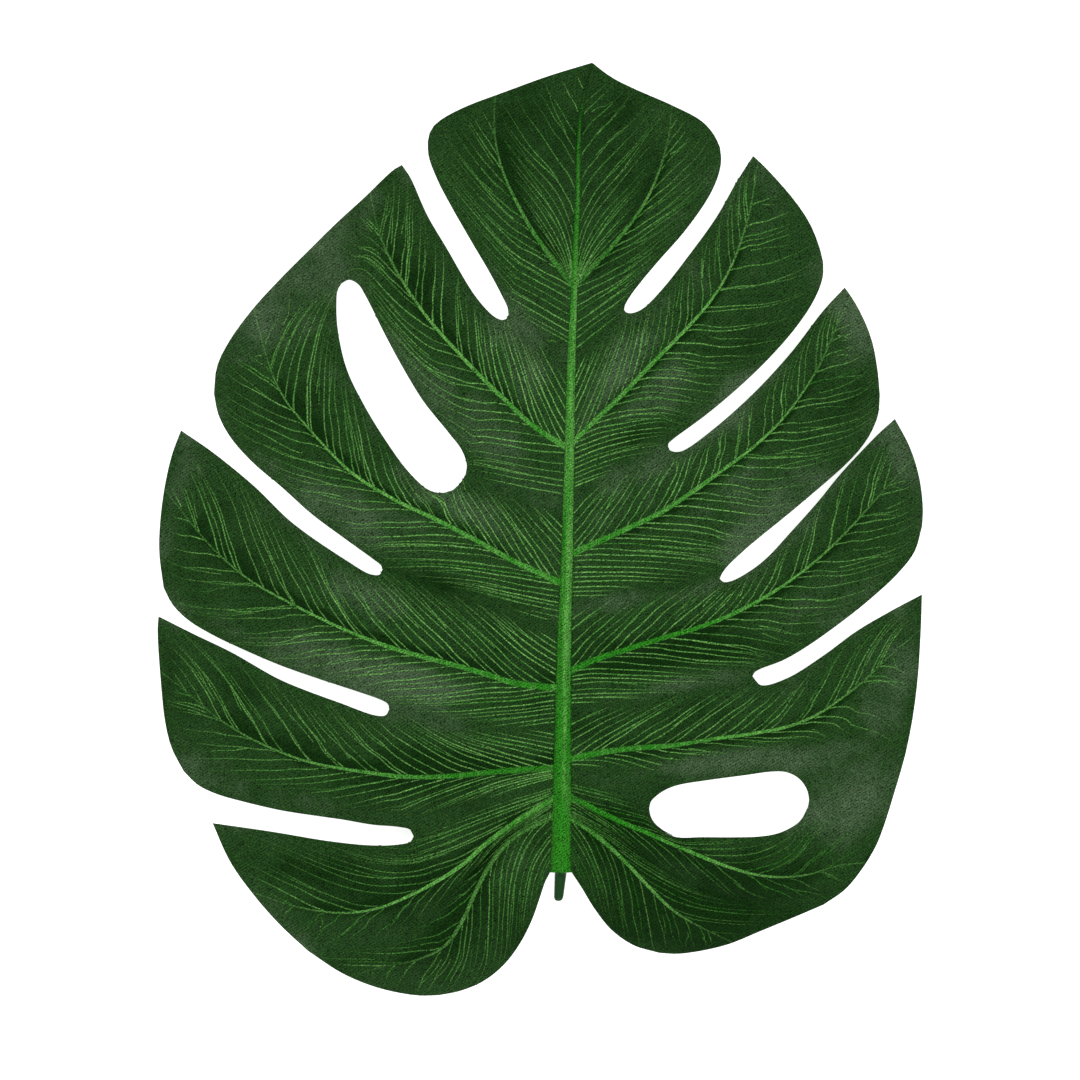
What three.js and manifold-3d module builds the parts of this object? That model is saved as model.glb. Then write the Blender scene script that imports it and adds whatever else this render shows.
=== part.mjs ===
// An artificial monstera leaf that lies face up: a printed cloth blade, pressed into a low relief,
// on a moulded plastic rib frame whose spine ends in a short tail at the base.
// Millimetres, +Z up, +Y from the base to the apex, origin under the middle of the leaf's box.
import * as THREE from 'three';
import Module from 'manifold-3d';
import { mergeVertices } from 'three/addons/utils/BufferGeometryUtils.js';

const wasm = await Module();
wasm.setup();

// The cloth and its relief: a level core over the spine, a bulge beside it, and a droop past both ends.
const CLOTH = 0.6;
const HALF_WIDTH = { left: 152, right: 134 };
const CORE_HEIGHT = { base: 5.2, apex: 3.0, from: -80, to: 110 };
const BASE_DROOP = { start: -100, reach: 85 };
const APEX_DROOP = { start: 70, reach: 110 };
const BULGE = 3.6;
const LOBE_ARCH = { height: 2.4, rise: 0.3, loss: 0.4 };
const MIDRIB_RIDGE = { base: 2.2, apex: 0.5 };
const VEIN_RIDGE = { height: 1.0, root: 2.2, end: 0.8, rise: 0.12, widest: 0.3 };

// The plastic frame under the cloth: a spine with a flat foot, side ribs, and the tail.
const GLUE_GAP = 0.3;
const SPINE = { top: 100, foot: 0.36, belly: 0.56 };
const RIB = { reach: 0.68, rootDepth: 2.0, endDepth: 1.0, width: 0.45 };
const TAIL = { length: 11, topWidth: 4.5, endWidth: 3.4, height: 4.2, lean: 0.9 };

// Mesh fineness
const STEPS_OUT = 16;
const STEPS_ACROSS = 4;
const SAMPLES_PER_POINT = 24;
const SLIT_CROWDING = 1.5;
const WELDS_PER_MM = 1000;
const SIXTEENTHS = 16;

// The midrib's centre line, from the base to the apex, and the half-width of its band at heights up the leaf.
const MIDRIB = [
  [7.6, -128.5], [8.3, -80], [9, -38], [10, -11], [11.7, 68], [12.9, 97], [14, 126], [15, 155], [19.2, 174.9],
];
const MIDRIB_BAND = [[-128.5, 4], [-80, 3.3], [-11, 2.3], [68, 1.6], [97, 1.2], [155, 0.6], [175, 0.4]];

// Each side is a row of lobes from the base to the apex. A lobe has a vein that leaves the midrib at the
// height "from", and a margin from its lower corner to its tip. The gaps lie below each lobe: the first is
// the base edge, and the others start at the midrib and run along a seam to a slit, to a closed window, or
// to the margin. "opens" and "closes" say how many sixteenths of the way out the slit or window begins and
// ends. "high" is the edge of the lobe above the gap, and "low" that of the lobe below it.
const LEFT = {
  side: -1,
  lobes: [
    {
      name: 'basal',
      from: -107.5,
      vein: [[-10, -115], [-18, -124], [-24, -135], [-29, -146], [-36, -156], [-46, -161], [-60, -164],
        [-72, -167.7]],
      margin: [[-38, -174.9], [-46, -175], [-60, -172.2], [-74, -166.6], [-87, -158.3]],
    },
    {
      name: 'fifth',
      from: -101,
      vein: [[-10, -110], [-20, -117.3], [-30, -126], [-40, -132.4], [-50, -137.5], [-60, -141.5],
        [-70, -143.4], [-80, -143.2], [-92, -141], [-108, -135.9]],
      margin: [[-87, -158.3], [-97.5, -148.2], [-107.4, -136.9], [-116.1, -124.7], [-122.9, -110.2]],
    },
    {
      name: 'fourth',
      from: -89.5,
      vein: [[-15, -90.5], [-35, -92.3], [-50, -92.4], [-65, -90.8], [-85, -87.4], [-97, -83.5],
        [-110, -77.5], [-122, -70], [-132, -61.5], [-142.6, -53]],
      margin: [[-133.8, -90.9], [-138.4, -82.1], [-140.8, -72.4], [-142.4, -57.4], [-143.7, -37.5],
        [-143.4, -32.8]],
    },
    {
      name: 'third',
      from: -59.5,
      vein: [[-10, -57.5], [-20, -54.3], [-35, -50], [-50, -46], [-65, -41], [-80, -34.5], [-95, -27],
        [-109, -19], [-121, -9], [-130, 1], [-140.9, 15]],
      margin: [[-141.5, -22], [-143, -10], [-143, -2], [-141.5, 12.6], [-138.4, 27.3], [-134.9, 37]],
    },
    {
      name: 'second',
      from: -20,
      vein: [[-10, -12], [-25, -3.7], [-40, 4], [-55, 11.3], [-70, 20.5], [-80, 30], [-88, 39],
        [-95, 47.5], [-100, 57], [-103.5, 68], [-107.5, 82.5]],
      margin: [[-122.4, 50.7], [-121.3, 60.6], [-117, 69.6], [-108.2, 81.7], [-97, 94], [-86, 105.1]],
    },
    {
      name: 'first',
      from: 31,
      vein: [[-3, 38.8], [-12, 47], [-22, 56.5], [-32, 67], [-42, 78.5], [-50, 90], [-56, 100.5],
        [-60.5, 111], [-64, 125.7]],
      margin: [[-86, 105.1], [-76.8, 114], [-65.7, 124.1], [-55, 134.5], [-51.9, 136.4]],
    },
    {
      name: 'apex',
      from: 92,
      vein: [[7, 97.5], [2, 104], [-3.5, 112], [-8.5, 121], [-13, 130.5], [-16, 140], [-17.3, 150],
        [-17, 162.5]],
      margin: [[-42.3, 145], [-41, 149.8], [-37.4, 153.3], [-28.6, 158], [-14.6, 163.4], [3, 169.9],
        [18.8, 174.9]],
    },
  ],
  gaps: [
    {
      from: -128.5,
      high: [[1.7, -132.2], [0.1, -137], [-3.2, -146.4], [-7.7, -155.3], [-13.7, -163.3],
        [-21.4, -169.5], [-30, -173.2], [-38, -174.9]],
    },
    { from: -104.5, seam: [[-12, -114.8], [-28, -131], [-45, -147], [-65, -156.5], [-87, -158.3]] },
    {
      from: -95.5,
      seam: [[-15, -101.5], [-47.4, -114.8]],
      opens: 6,
      high: [[-48.6, -112.4], [-53, -111.3], [-62.8, -110.5], [-74, -108.6], [-82.5, -107.4],
        [-97.3, -105.2], [-112, -101.9], [-121.6, -99.2], [-128.5, -95.9], [-133.8, -90.9]],
      low: [[-48.6, -116.8], [-54, -118], [-64.2, -118.2], [-79.1, -116.7], [-98.9, -113.5],
        [-122.9, -110.2]],
    },
    {
      from: -75,
      seam: [[-28, -74], [-56.5, -67.3]],
      opens: 6,
      high: [[-57, -65.4], [-59.5, -63.9], [-68.2, -60.8], [-82.4, -56.2], [-96.6, -51.3],
        [-110.4, -45.5], [-124, -39.1], [-132.5, -33.9], [-138.2, -28.2], [-141.5, -22]],
      low: [[-57.9, -69.6], [-61.5, -69.7], [-75.1, -64.9], [-89.2, -59.8], [-98.4, -55.9],
        [-115.9, -46.1], [-129.4, -39.7], [-143.4, -32.8]],
    },
    {
      from: -38,
      seam: [[-30, -23.5], [-59, -15]],
      opens: 7,
      high: [[-59.6, -13.6], [-62.5, -11.3], [-73.5, -3.4], [-85.5, 5.5], [-96.7, 15.5], [-108.1, 25.2],
        [-116.3, 34.5], [-120.8, 43], [-122.4, 50.7]],
      low: [[-60, -17], [-63.6, -16.9], [-72.3, -11.9], [-92.8, 2.3], [-107.3, 16.1], [-122.8, 28.7],
        [-134.9, 37]],
    },
    {
      from: 5,
      seam: [[-10, 12.5], [-28, 20.5]],
      opens: 4,
      high: [[-27.6, 24], [-29.5, 29.5], [-34.4, 36], [-43.8, 47.7], [-51.6, 60.5], [-58.7, 73.7],
        [-65.4, 87.1], [-68.3, 91.6], [-71.6, 93.2], [-74.4, 91.9]],
      low: [[-29.6, 17.8], [-32.6, 14.7], [-37.4, 13.5], [-42.1, 14.8], [-49.4, 21.5], [-58.2, 33.6],
        [-66, 46.4], [-72.5, 59.9], [-75.8, 74.5], [-76.3, 84.5], [-75.9, 89.2], [-74.4, 91.9]],
      closes: 15,
      rejoin: [[-80, 98.5], [-86, 105.1]],
    },
    {
      from: 62,
      seam: [[0, 70], [-12, 80.2]],
      opens: 5,
      high: [[-12.4, 83], [-14.3, 87], [-19, 95.9], [-26.6, 108.8], [-34, 121.8], [-38.6, 130.7],
        [-41.9, 139.5], [-42.3, 145]],
      low: [[-12.8, 78.7], [-14.4, 78.2], [-16.2, 78.8], [-18.5, 80.4], [-24.7, 87.6], [-34.9, 104.7],
        [-42.5, 117.7], [-48.6, 131.4], [-51.9, 136.4]],
    },
  ],
};

const RIGHT = {
  side: 1,
  lobes: [
    {
      name: 'basal',
      from: -108,
      vein: [[17, -111.6], [25, -117.8], [32, -124.5], [40, -133], [48, -141], [55, -146],
        [72, -154.9]],
      margin: [[44.3, -158.7], [52, -159], [68.9, -155.8], [82.9, -150.2], [96, -144.9], [106, -140.8]],
    },
    {
      name: 'fifth',
      from: -100.5,
      vein: [[20, -104.7], [30, -109.2], [42, -114.3], [55, -120], [68, -125.4], [80, -129],
        [90, -130.1], [101, -129], [111, -126], [122, -124.9]],
      margin: [[106, -140.8], [114.1, -135], [120.4, -127.3], [125.6, -118.8], [128.5, -111.8],
        [130.9, -104.8]],
    },
    {
      name: 'fourth',
      from: -86,
      vein: [[22, -83.6], [35, -81.8], [50, -80.7], [65, -78.3], [80, -76.3], [93, -73.6], [104, -69],
        [113, -63], [121, -57], [131, -47.5], [142.4, -37.5]],
      margin: [[130.9, -104.8], [133.8, -95.2], [136.6, -85.6], [139.6, -70.9], [141.5, -56],
        [142.5, -41], [143.2, -24.6]],
    },
    {
      name: 'third',
      from: -53,
      vein: [[20, -49], [32, -45], [45, -40.8], [58, -37], [70, -32.5], [82, -26.4], [93, -19.5],
        [104, -11], [114, -1.5], [125.5, 11], [139.8, 27]],
      margin: [[143.3, 1.2], [143.5, 8], [142, 19.5], [138.5, 30.5], [132.9, 41.3]],
    },
    {
      name: 'second',
      from: -9,
      vein: [[20, -5.5], [32, 0], [44, 5.7], [56, 13.3], [68, 22], [80, 31], [90, 40.5], [98, 51],
        [105, 62.5], [110, 74], [116.3, 87.3]],
      margin: [[127.2, 50.2], [126.2, 60.1], [123.8, 71.5], [119, 82.5], [113.9, 90.5]],
    },
    {
      name: 'first',
      from: 33,
      vein: [[20, 40.2], [30, 49.6], [40, 60], [50, 70], [59, 79.5], [66, 88.5], [71.5, 98.5],
        [75.5, 109], [78.5, 120], [81.5, 137.7]],
      margin: [[105.8, 100], [104.6, 104.9], [100.9, 114.2], [95.4, 122.5], [85.5, 133.9],
        [79.6, 139.8]],
    },
    {
      name: 'apex',
      from: 92,
      vein: [[18, 96.2], [24, 102.5], [31, 110.5], [37, 118.5], [42, 127.5], [46, 138.5], [48.3, 149],
        [49.3, 158.8]],
      margin: [[67.3, 142.9], [65.2, 147.4], [60.5, 152.7], [49.2, 158.8], [35.5, 164.9], [26.6, 169.5],
        [19.6, 174.9]],
    },
  ],
  gaps: [
    { from: -128.5, high: [[15.1, -133.8], [20.3, -142.3], [26.6, -150.1], [34.7, -155.8], [44.3, -158.7]] },
    { from: -105, seam: [[24, -111.7], [42, -124.5], [65, -136.5], [88, -140.5], [106, -140.8]] },
    {
      from: -94,
      seam: [[26, -98.5], [40.6, -104.6]],
      opens: 3,
      high: [[41.2, -102], [43.2, -99.8], [46.6, -97.5], [51.3, -95.7], [61.3, -94], [76.5, -92],
        [86.6, -90.7], [91.7, -90.9], [96.2, -93], [99.4, -97], [100.4, -101.2], [100, -104]],
      low: [[41.3, -107.6], [43.5, -110.9], [46.8, -113.4], [50.7, -115.1], [60.8, -115.1],
        [71, -115.2], [81.2, -115], [88, -114], [93, -112], [97.2, -109], [100, -104]],
      closes: 13,
      rejoin: [[115, -103], [130.9, -104.8]],
    },
    {
      from: -68,
      seam: [[45, -62.5], [79.2, -55]],
      opens: 7,
      high: [[80, -53.6], [82, -52.4], [90.7, -49.1], [99.3, -44.2], [111.6, -35.6], [123.4, -26.4],
        [134.5, -16.2], [140.5, -8.3], [143.3, 1.2]],
      low: [[80.4, -56.6], [82, -58.2], [84.5, -58.4], [93.6, -55.1], [106.2, -47.1], [118.3, -38.3],
        [131.3, -30.8], [143.2, -24.6]],
    },
    {
      from: -30,
      seam: [[38, -24.5], [67, -18.6]],
      opens: 6,
      high: [[67.8, -16.7], [70, -13.8], [77.5, -6.8], [93.3, 6.1], [109, 19.4], [114.3, 24.2],
        [119.5, 29.7], [123.7, 35.8], [126.6, 43], [127.2, 50.2]],
      low: [[68.4, -19.8], [70.8, -19.6], [75.4, -17.5], [83.7, -11.6], [94.2, -0.5], [104.4, 10.9],
        [110.6, 18.6], [114.9, 23.5], [120.1, 29], [127.1, 36.1], [132.9, 41.3]],
    },
    {
      from: 12,
      seam: [[28, 21.5], [47.7, 31]],
      opens: 5,
      high: [[47.9, 32], [49.5, 33.5], [61.6, 42.4], [73.1, 52], [84, 62.3], [94, 73.4], [101, 83.2],
        [104.5, 90.3], [105.8, 95.1], [105.8, 100]],
      low: [[48.2, 29.6], [50.5, 28.8], [53.5, 29.4], [65.4, 38], [80.3, 51.4], [93.8, 66.1],
        [106, 81.9], [113.9, 90.5]],
    },
    {
      from: 62,
      seam: [[21, 71], [31.3, 82]],
      opens: 4,
      high: [[31.6, 83.6], [33.5, 87], [37.9, 92.8], [44.3, 100.4], [54.2, 111.7], [62.8, 124],
        [66.5, 132], [67.7, 137.9], [67.3, 142.9]],
      low: [[32.2, 81], [34.5, 80.8], [38.3, 82.5], [45, 89.1], [57.4, 104.9], [66, 117], [73.4, 130],
        [79.6, 139.8]],
    },
  ],
};

const { lerp, smoothstep, clamp } = THREE.MathUtils;
const mix = (p, q, share) => p.map((value, axis) => lerp(value, q[axis], share));
const distance = (p, q) => Math.hypot(p[0] - q[0], p[1] - q[1]);
const steps = (count, make) => Array.from({ length: count + 1 }, (_, step) => make(step));

// Spacing rules along an edge: even, close at a slit's round end, and close at both ends of a window.
const even = (share) => share;
const closeAtStart = (share) => share ** SLIT_CROWDING;
const closeAtEnds = (share) => (1 - Math.cos(Math.PI * share)) / 2;

// A line as close samples with the running length at each.
function measured(samples) {
  const lengths = [0];
  for (let i = 1; i < samples.length; i += 1) {
    lengths.push(lengths[i - 1] + distance(samples[i], samples[i - 1]));
  }
  return { samples, lengths };
}

// A smooth line through points.
function smoothLine(points) {
  const corners = points.map(([x, y]) => new THREE.Vector3(x, y, 0));
  const curve = new THREE.CatmullRomCurve3(corners, false, 'centripetal');
  return measured(curve.getPoints((points.length - 1) * SAMPLES_PER_POINT).map(({ x, y }) => [x, y]));
}

// The point at a share of a line's length.
function along({ samples, lengths }, share) {
  const target = clamp(share, 0, 1) * lengths.at(-1);
  const next = clamp(lengths.findIndex((length) => length >= target), 1, lengths.length - 1);
  const part = (target - lengths[next - 1]) / (lengths[next] - lengths[next - 1]);
  return mix(samples[next - 1], samples[next], part);
}

// The value at a height up the leaf in a table of [height, value] pairs.
function atHeight(table, y) {
  const next = clamp(table.findIndex(([height]) => height >= y), 1, table.length - 1);
  const [[y0, v0], [y1, v1]] = [table[next - 1], table[next]];
  return lerp(v0, v1, clamp((y - y0) / (y1 - y0), 0, 1));
}

const BASE_Y = MIDRIB[0][1];
const APEX_Y = MIDRIB.at(-1)[1];
const midribTable = smoothLine(MIDRIB).samples.map(([x, y]) => [y, x]);
const midribX = (y) => atHeight(midribTable, y);
const bandHalfWidth = (y) => atHeight(MIDRIB_BAND, y);
const bandEdge = (side, y) => [midribX(y) + side * bandHalfWidth(y), y];

// The height of the cloth's middle without its veins.
function clothHeight([x, y]) {
  const off = x - midribX(y);
  const out = Math.min(1, Math.abs(off) / (off < 0 ? HALF_WIDTH.left : HALF_WIDTH.right));
  const pastBase = Math.max(0, BASE_DROOP.start - y) / BASE_DROOP.reach;
  const pastApex = Math.max(0, y - APEX_DROOP.start) / APEX_DROOP.reach;
  const past = Math.min(1, pastBase + pastApex);
  const core = lerp(CORE_HEIGHT.base, CORE_HEIGHT.apex, smoothstep(y, CORE_HEIGHT.from, CORE_HEIGHT.to));
  const droop = 1 - Math.min(1, out ** 2 + past ** 2);
  const bulge = BULGE * 4 * out * (1 - out) * (1 - past ** 2);
  return CLOTH / 2 + core * droop + bulge;
}

// Ridges at a share u of a vein's length, the arch of a lobe across it, and the midrib's channel.
const ridgeHalfWidth = (u) => lerp(VEIN_RIDGE.root, VEIN_RIDGE.end, u);
const ridgeHeight = (u) => VEIN_RIDGE.height * (1 - u) * smoothstep(u, 0, VEIN_RIDGE.rise);
const archHeight = (u) => LOBE_ARCH.height * smoothstep(u, 0, LOBE_ARCH.rise) * (1 - LOBE_ARCH.loss * u * u);
const midribHeight = (y) => lerp(MIDRIB_RIDGE.base, MIDRIB_RIDGE.apex, smoothstep(y, BASE_Y, APEX_Y));

// A border runs from the midrib to the margin through stretches that each cover part of the way out.
function border(stretches) {
  return (u) => {
    const { line, from, to, spacing } = stretches.find((stretch) => u <= stretch.to);
    return along(line, spacing((u - from) / (to - from)));
  };
}

// The border of a lobe along a gap: the seam, then the edge of the slit or window, then the seam again.
function gapBorder(side, gap, edge) {
  const start = bandEdge(side, gap.from);
  if (!gap.seam) {
    return border([{ line: smoothLine([start, ...gap.high]), from: 0, to: 1, spacing: even }]);
  }
  const opens = (gap.opens ?? SIXTEENTHS) / SIXTEENTHS;
  const closes = (gap.closes ?? SIXTEENTHS) / SIXTEENTHS;
  const stretches = [{ line: smoothLine([start, ...gap.seam]), from: 0, to: opens, spacing: even }];
  if (gap[edge]) {
    const spacing = gap.rejoin ? closeAtEnds : closeAtStart;
    stretches.push({ line: smoothLine([gap.seam.at(-1), ...gap[edge]]), from: opens, to: closes, spacing });
  }
  if (gap.rejoin) {
    const rejoin = smoothLine([gap.high.at(-1), ...gap.rejoin]);
    stretches.push({ line: rejoin, from: closes, to: 1, spacing: even });
  }
  return border(stretches);
}

// The border between the apex lobe and the midrib, from its vein's root to the leaf's tip.
function midribBorder(side, from) {
  const points = steps(SAMPLES_PER_POINT, (i) => bandEdge(side, lerp(from, APEX_Y, i / SAMPLES_PER_POINT)));
  return border([{ line: measured(points), from: 0, to: 1, spacing: even }]);
}

// Half a lobe: a sheet between the vein and a border, bent at the outer end to follow the margin.
function halfLobe(vein, edge, margin) {
  const width = (u) => distance(along(vein, u), edge(u));
  const point = (u, t) => {
    const straight = mix(along(vein, u), edge(u), t);
    const end = mix(along(vein, 1), edge(1), t);
    const rim = along(margin, t);
    return straight.map((value, axis) => value + u * u * (rim[axis] - end[axis]));
  };
  return { width, point };
}

// The two halves of each lobe of a side, from the base to the apex. A vein ends on its lobe's margin.
function halvesOf({ side, lobes, gaps }) {
  return lobes.map((lobe, k) => {
    const margin = smoothLine(lobe.margin).samples;
    const toVein = margin.map((p) => distance(p, lobe.vein.at(-1)));
    const split = toVein.indexOf(Math.min(...toVein));
    const vein = smoothLine([bandEdge(side, lobe.from), ...lobe.vein.slice(0, -1), margin[split]]);
    const above = gaps[k + 1];
    const highBorder = above ? gapBorder(side, above, 'low') : midribBorder(side, lobe.from);
    return {
      low: halfLobe(vein, gapBorder(side, gaps[k], 'high'), measured(margin.slice(0, split + 1).reverse())),
      high: halfLobe(vein, highBorder, measured(margin.slice(split))),
    };
  });
}

// The share of the way across half a lobe at a grid column: the crest, the ridge's foot, then even steps.
function columnShare(half, u, column) {
  if (column === 0) return 0;
  const width = half.width(u);
  const foot = Math.min(VEIN_RIDGE.widest * width, ridgeHalfWidth(u)) / (width || 1);
  return lerp(foot, 1, (column - 1) / (STEPS_ACROSS - 1));
}

// A grid point of half a lobe, with the cloth's height there.
function gridPoint(half, row, column) {
  const u = row / STEPS_OUT;
  const t = columnShare(half, u, column);
  const [x, y] = half.point(u, t);
  const crest = column === 0 ? ridgeHeight(u) : 0;
  return [x, y, clothHeight([x, y]) + archHeight(u) * (1 - t * t) + crest];
}

const gridRow = (half, row) => steps(STEPS_ACROSS, (column) => gridPoint(half, row, column));
const gridOf = (half) => steps(STEPS_OUT, (row) => gridRow(half, row));
const gridsOf = (halves) => halves.map(({ low, high }) => ({ low: gridOf(low), high: gridOf(high) }));

// The edge of the midrib band: the roots of all the half lobes in turn, then the apex lobe's border.
function bandEdgeOf(grids) {
  const roots = grids.flatMap(({ low, high }, k) => {
    const isApex = k === grids.length - 1;
    return [...low[0].slice().reverse(), ...(isApex ? [] : high[0].slice(1, -1))];
  });
  return [...roots, ...grids.at(-1).high.slice(1).map((row) => row.at(-1))];
}

// The midrib band between the two sides: five columns, raised into a rounded channel.
const BAND_COLUMNS = [-1, -0.5, 0, 0.5, 1];

function bandGrid(leftEdge, rightEdge) {
  return leftEdge.map((leftPoint, k) => BAND_COLUMNS.map((c) => {
    const [x, y] = mix(leftPoint, rightEdge[k], (c + 1) / 2);
    return [x, y, clothHeight([x, y]) + midribHeight(y) * (1 - c * c)];
  }));
}

function indexed(positions, index) {
  const geometry = new THREE.BufferGeometry();
  geometry.setAttribute('position', new THREE.Float32BufferAttribute(positions, 3));
  return geometry.setIndex(index);
}

// A closed sheet from grids of points: both faces split alike, with a wall along every free edge.
function sheetGeometry(grids, thickness) {
  const points = [];
  const places = new Map();
  const weld = (p) => {
    const key = p.slice(0, 2).map((value) => Math.round(value * WELDS_PER_MM)).join();
    if (!places.has(key)) places.set(key, points.push(p) - 1);
    return places.get(key);
  };
  const triangles = [];
  const addTriangle = (a, b, c) => {
    if (a === b || b === c || c === a) return;
    const [p, q, r] = [points[a], points[b], points[c]];
    const turn = (q[0] - p[0]) * (r[1] - p[1]) - (q[1] - p[1]) * (r[0] - p[0]);
    triangles.push(turn > 0 ? [a, b, c] : [a, c, b]);
  };
  for (const grid of grids) {
    const ids = grid.map((row) => row.map(weld));
    for (let i = 0; i + 1 < ids.length; i += 1) {
      for (let j = 0; j + 1 < ids[i].length; j += 1) {
        addTriangle(ids[i][j], ids[i + 1][j], ids[i + 1][j + 1]);
        addTriangle(ids[i][j], ids[i + 1][j + 1], ids[i][j + 1]);
      }
    }
  }
  const count = points.length;
  const faces = triangles.flatMap(([a, b, c]) => [[a, b, c], [a + count, c + count, b + count]]);
  const edges = new Set(triangles.flatMap(([a, b, c]) => [`${a},${b}`, `${b},${c}`, `${c},${a}`]));
  for (const edge of edges) {
    const [a, b] = edge.split(',').map(Number);
    if (!edges.has(`${b},${a}`)) faces.push([b, a, a + count], [b, a + count, b + count]);
  }
  const raised = (dz) => points.flatMap(([x, y, z]) => [x, y, z + dz]);
  return indexed([...raised(thickness / 2), ...raised(-thickness / 2)], faces.flat());
}

// A closed body through rings of points, each ring going round clockwise as seen from the first end.
function loft(rings) {
  const size = rings[0].length;
  const index = [];
  for (let r = 0; r + 1 < rings.length; r += 1) {
    for (let k = 0; k < size; k += 1) {
      const [a, b] = [r * size + k, r * size + ((k + 1) % size)];
      index.push(a, b + size, a + size, a, b, b + size);
    }
  }
  const last = (rings.length - 1) * size;
  for (let k = 1; k + 1 < size; k += 1) {
    index.push(0, k + 1, k, last, last + k, last + k + 1);
  }
  return indexed(rings.flat(2), index);
}

// The plastic lies a glue gap under the cloth.
const underCloth = ([x, y, z]) => [x, y, z - CLOTH / 2 - GLUE_GAP];

// A ring of the spine: a flat foot on the ground, a belly at half height, and a top that fills the channel.
function spineRing(bandRow) {
  const [leftTop, crown, rightTop] = bandRow.slice(1, 4).map(underCloth);
  const half = bandHalfWidth(crown[1]);
  const flank = (top, share, z) => [crown[0] + Math.sign(top[0] - crown[0]) * half * share, top[1], z];
  const belly = leftTop[2] / 2;
  return [
    flank(leftTop, SPINE.foot, 0),
    flank(leftTop, SPINE.belly, belly),
    leftTop,
    crown,
    rightTop,
    flank(rightTop, SPINE.belly, belly),
    flank(rightTop, SPINE.foot, 0),
  ];
}

// The tail's rings as [share of its length, share of its width, share of its height], and its section as
// [share of the width, share of the height].
const TAIL_RINGS = [[1, 0.55, 0.62], [0.94, 0.85, 0.84], [0.8, 1, 0.94], [0.45, 1, 1], [0.12, 1, 1]];
const TAIL_SECTION = [[-0.34, 0], [-0.5, 0.45], [-0.32, 0.86], [0, 1], [0.32, 0.86], [0.5, 0.45], [0.34, 0]];

function tailRing([out, wide, tall]) {
  const x = MIDRIB[0][0] - TAIL.lean * out;
  const y = BASE_Y - TAIL.length * out;
  const width = lerp(TAIL.topWidth, TAIL.endWidth, out) * wide;
  return TAIL_SECTION.map(([across, up]) => [x + across * width, y, up * tall * TAIL.height]);
}

// A side rib under a vein, from inside the spine outwards: three points up in the ridge and two below.
function ribGeometry({ low, high }, side) {
  const rows = Math.round(STEPS_OUT * RIB.reach);
  const ring = (row, inward = 0) => {
    const crest = gridPoint(low, row, 0);
    const depth = lerp(RIB.rootDepth, RIB.endDepth, row / rows);
    const flanks = [low, high].map((half) => mix(crest, gridPoint(half, row, 1), RIB.width));
    const top = [flanks[0], crest, flanks[1]];
    const bottom = flanks.toReversed().map(([x, y]) => [x, y, crest[2] - depth]);
    const points = [...top, ...bottom].map(underCloth).map(([x, y, z]) => [x - side * inward, y, z]);
    return side < 0 ? points : points.reverse();
  };
  const insideSpine = bandHalfWidth(gridPoint(low, 0, 0)[1]);
  return loft([ring(0, insideSpine), ...steps(rows, (row) => ring(row))]);
}

// Joins closed geometries into one body.
function fuse(geometries) {
  const solids = geometries.map((geometry) => {
    const merged = mergeVertices(geometry);
    return new wasm.Manifold(new wasm.Mesh({
      numProp: 3,
      vertProperties: merged.attributes.position.array,
      triVerts: new Uint32Array(merged.index.array),
    }));
  });
  const { vertProperties, triVerts } = solids.reduce((joined, solid) => joined.add(solid)).getMesh();
  return indexed(Array.from(vertProperties), Array.from(triVerts));
}

const leftHalves = halvesOf(LEFT);
const rightHalves = halvesOf(RIGHT);
const leftGrids = gridsOf(leftHalves);
const rightGrids = gridsOf(rightHalves);
const band = bandGrid(bandEdgeOf(leftGrids), bandEdgeOf(rightGrids));
const lobeGrids = [...leftGrids, ...rightGrids].flatMap(({ low, high }) => [low, high]);

const spineRows = band.filter((row, k) => k % 2 === 0 && row[2][1] <= SPINE.top);
const spine = loft([...TAIL_RINGS.map(tailRing), ...spineRows.map(spineRing)]);
const ribs = [
  ...leftHalves.map((halves) => ribGeometry(halves, LEFT.side)),
  ...rightHalves.map((halves) => ribGeometry(halves, RIGHT.side)),
];

const satinCloth = new THREE.MeshStandardMaterial({ color: 0x1f4a1c, roughness: 0.55, metalness: 0 });
const mouldedPlastic = new THREE.MeshStandardMaterial({ color: 0x1a431b, roughness: 0.4, metalness: 0 });

const blade = new THREE.Mesh(sheetGeometry([...lobeGrids, band], CLOTH), satinCloth);
blade.name = 'leaf_blade';
const frame = new THREE.Mesh(fuse([spine, ...ribs]), mouldedPlastic);
frame.name = 'rib_frame';

const leaf = new THREE.Group();
leaf.add(blade, frame);

export default leaf;
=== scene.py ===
"""The looks of an artificial monstera leaf: a printed satin blade pressed into a low relief, the fine veins
printed on it, and the moulded rib frame that it is glued to."""

import math

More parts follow.
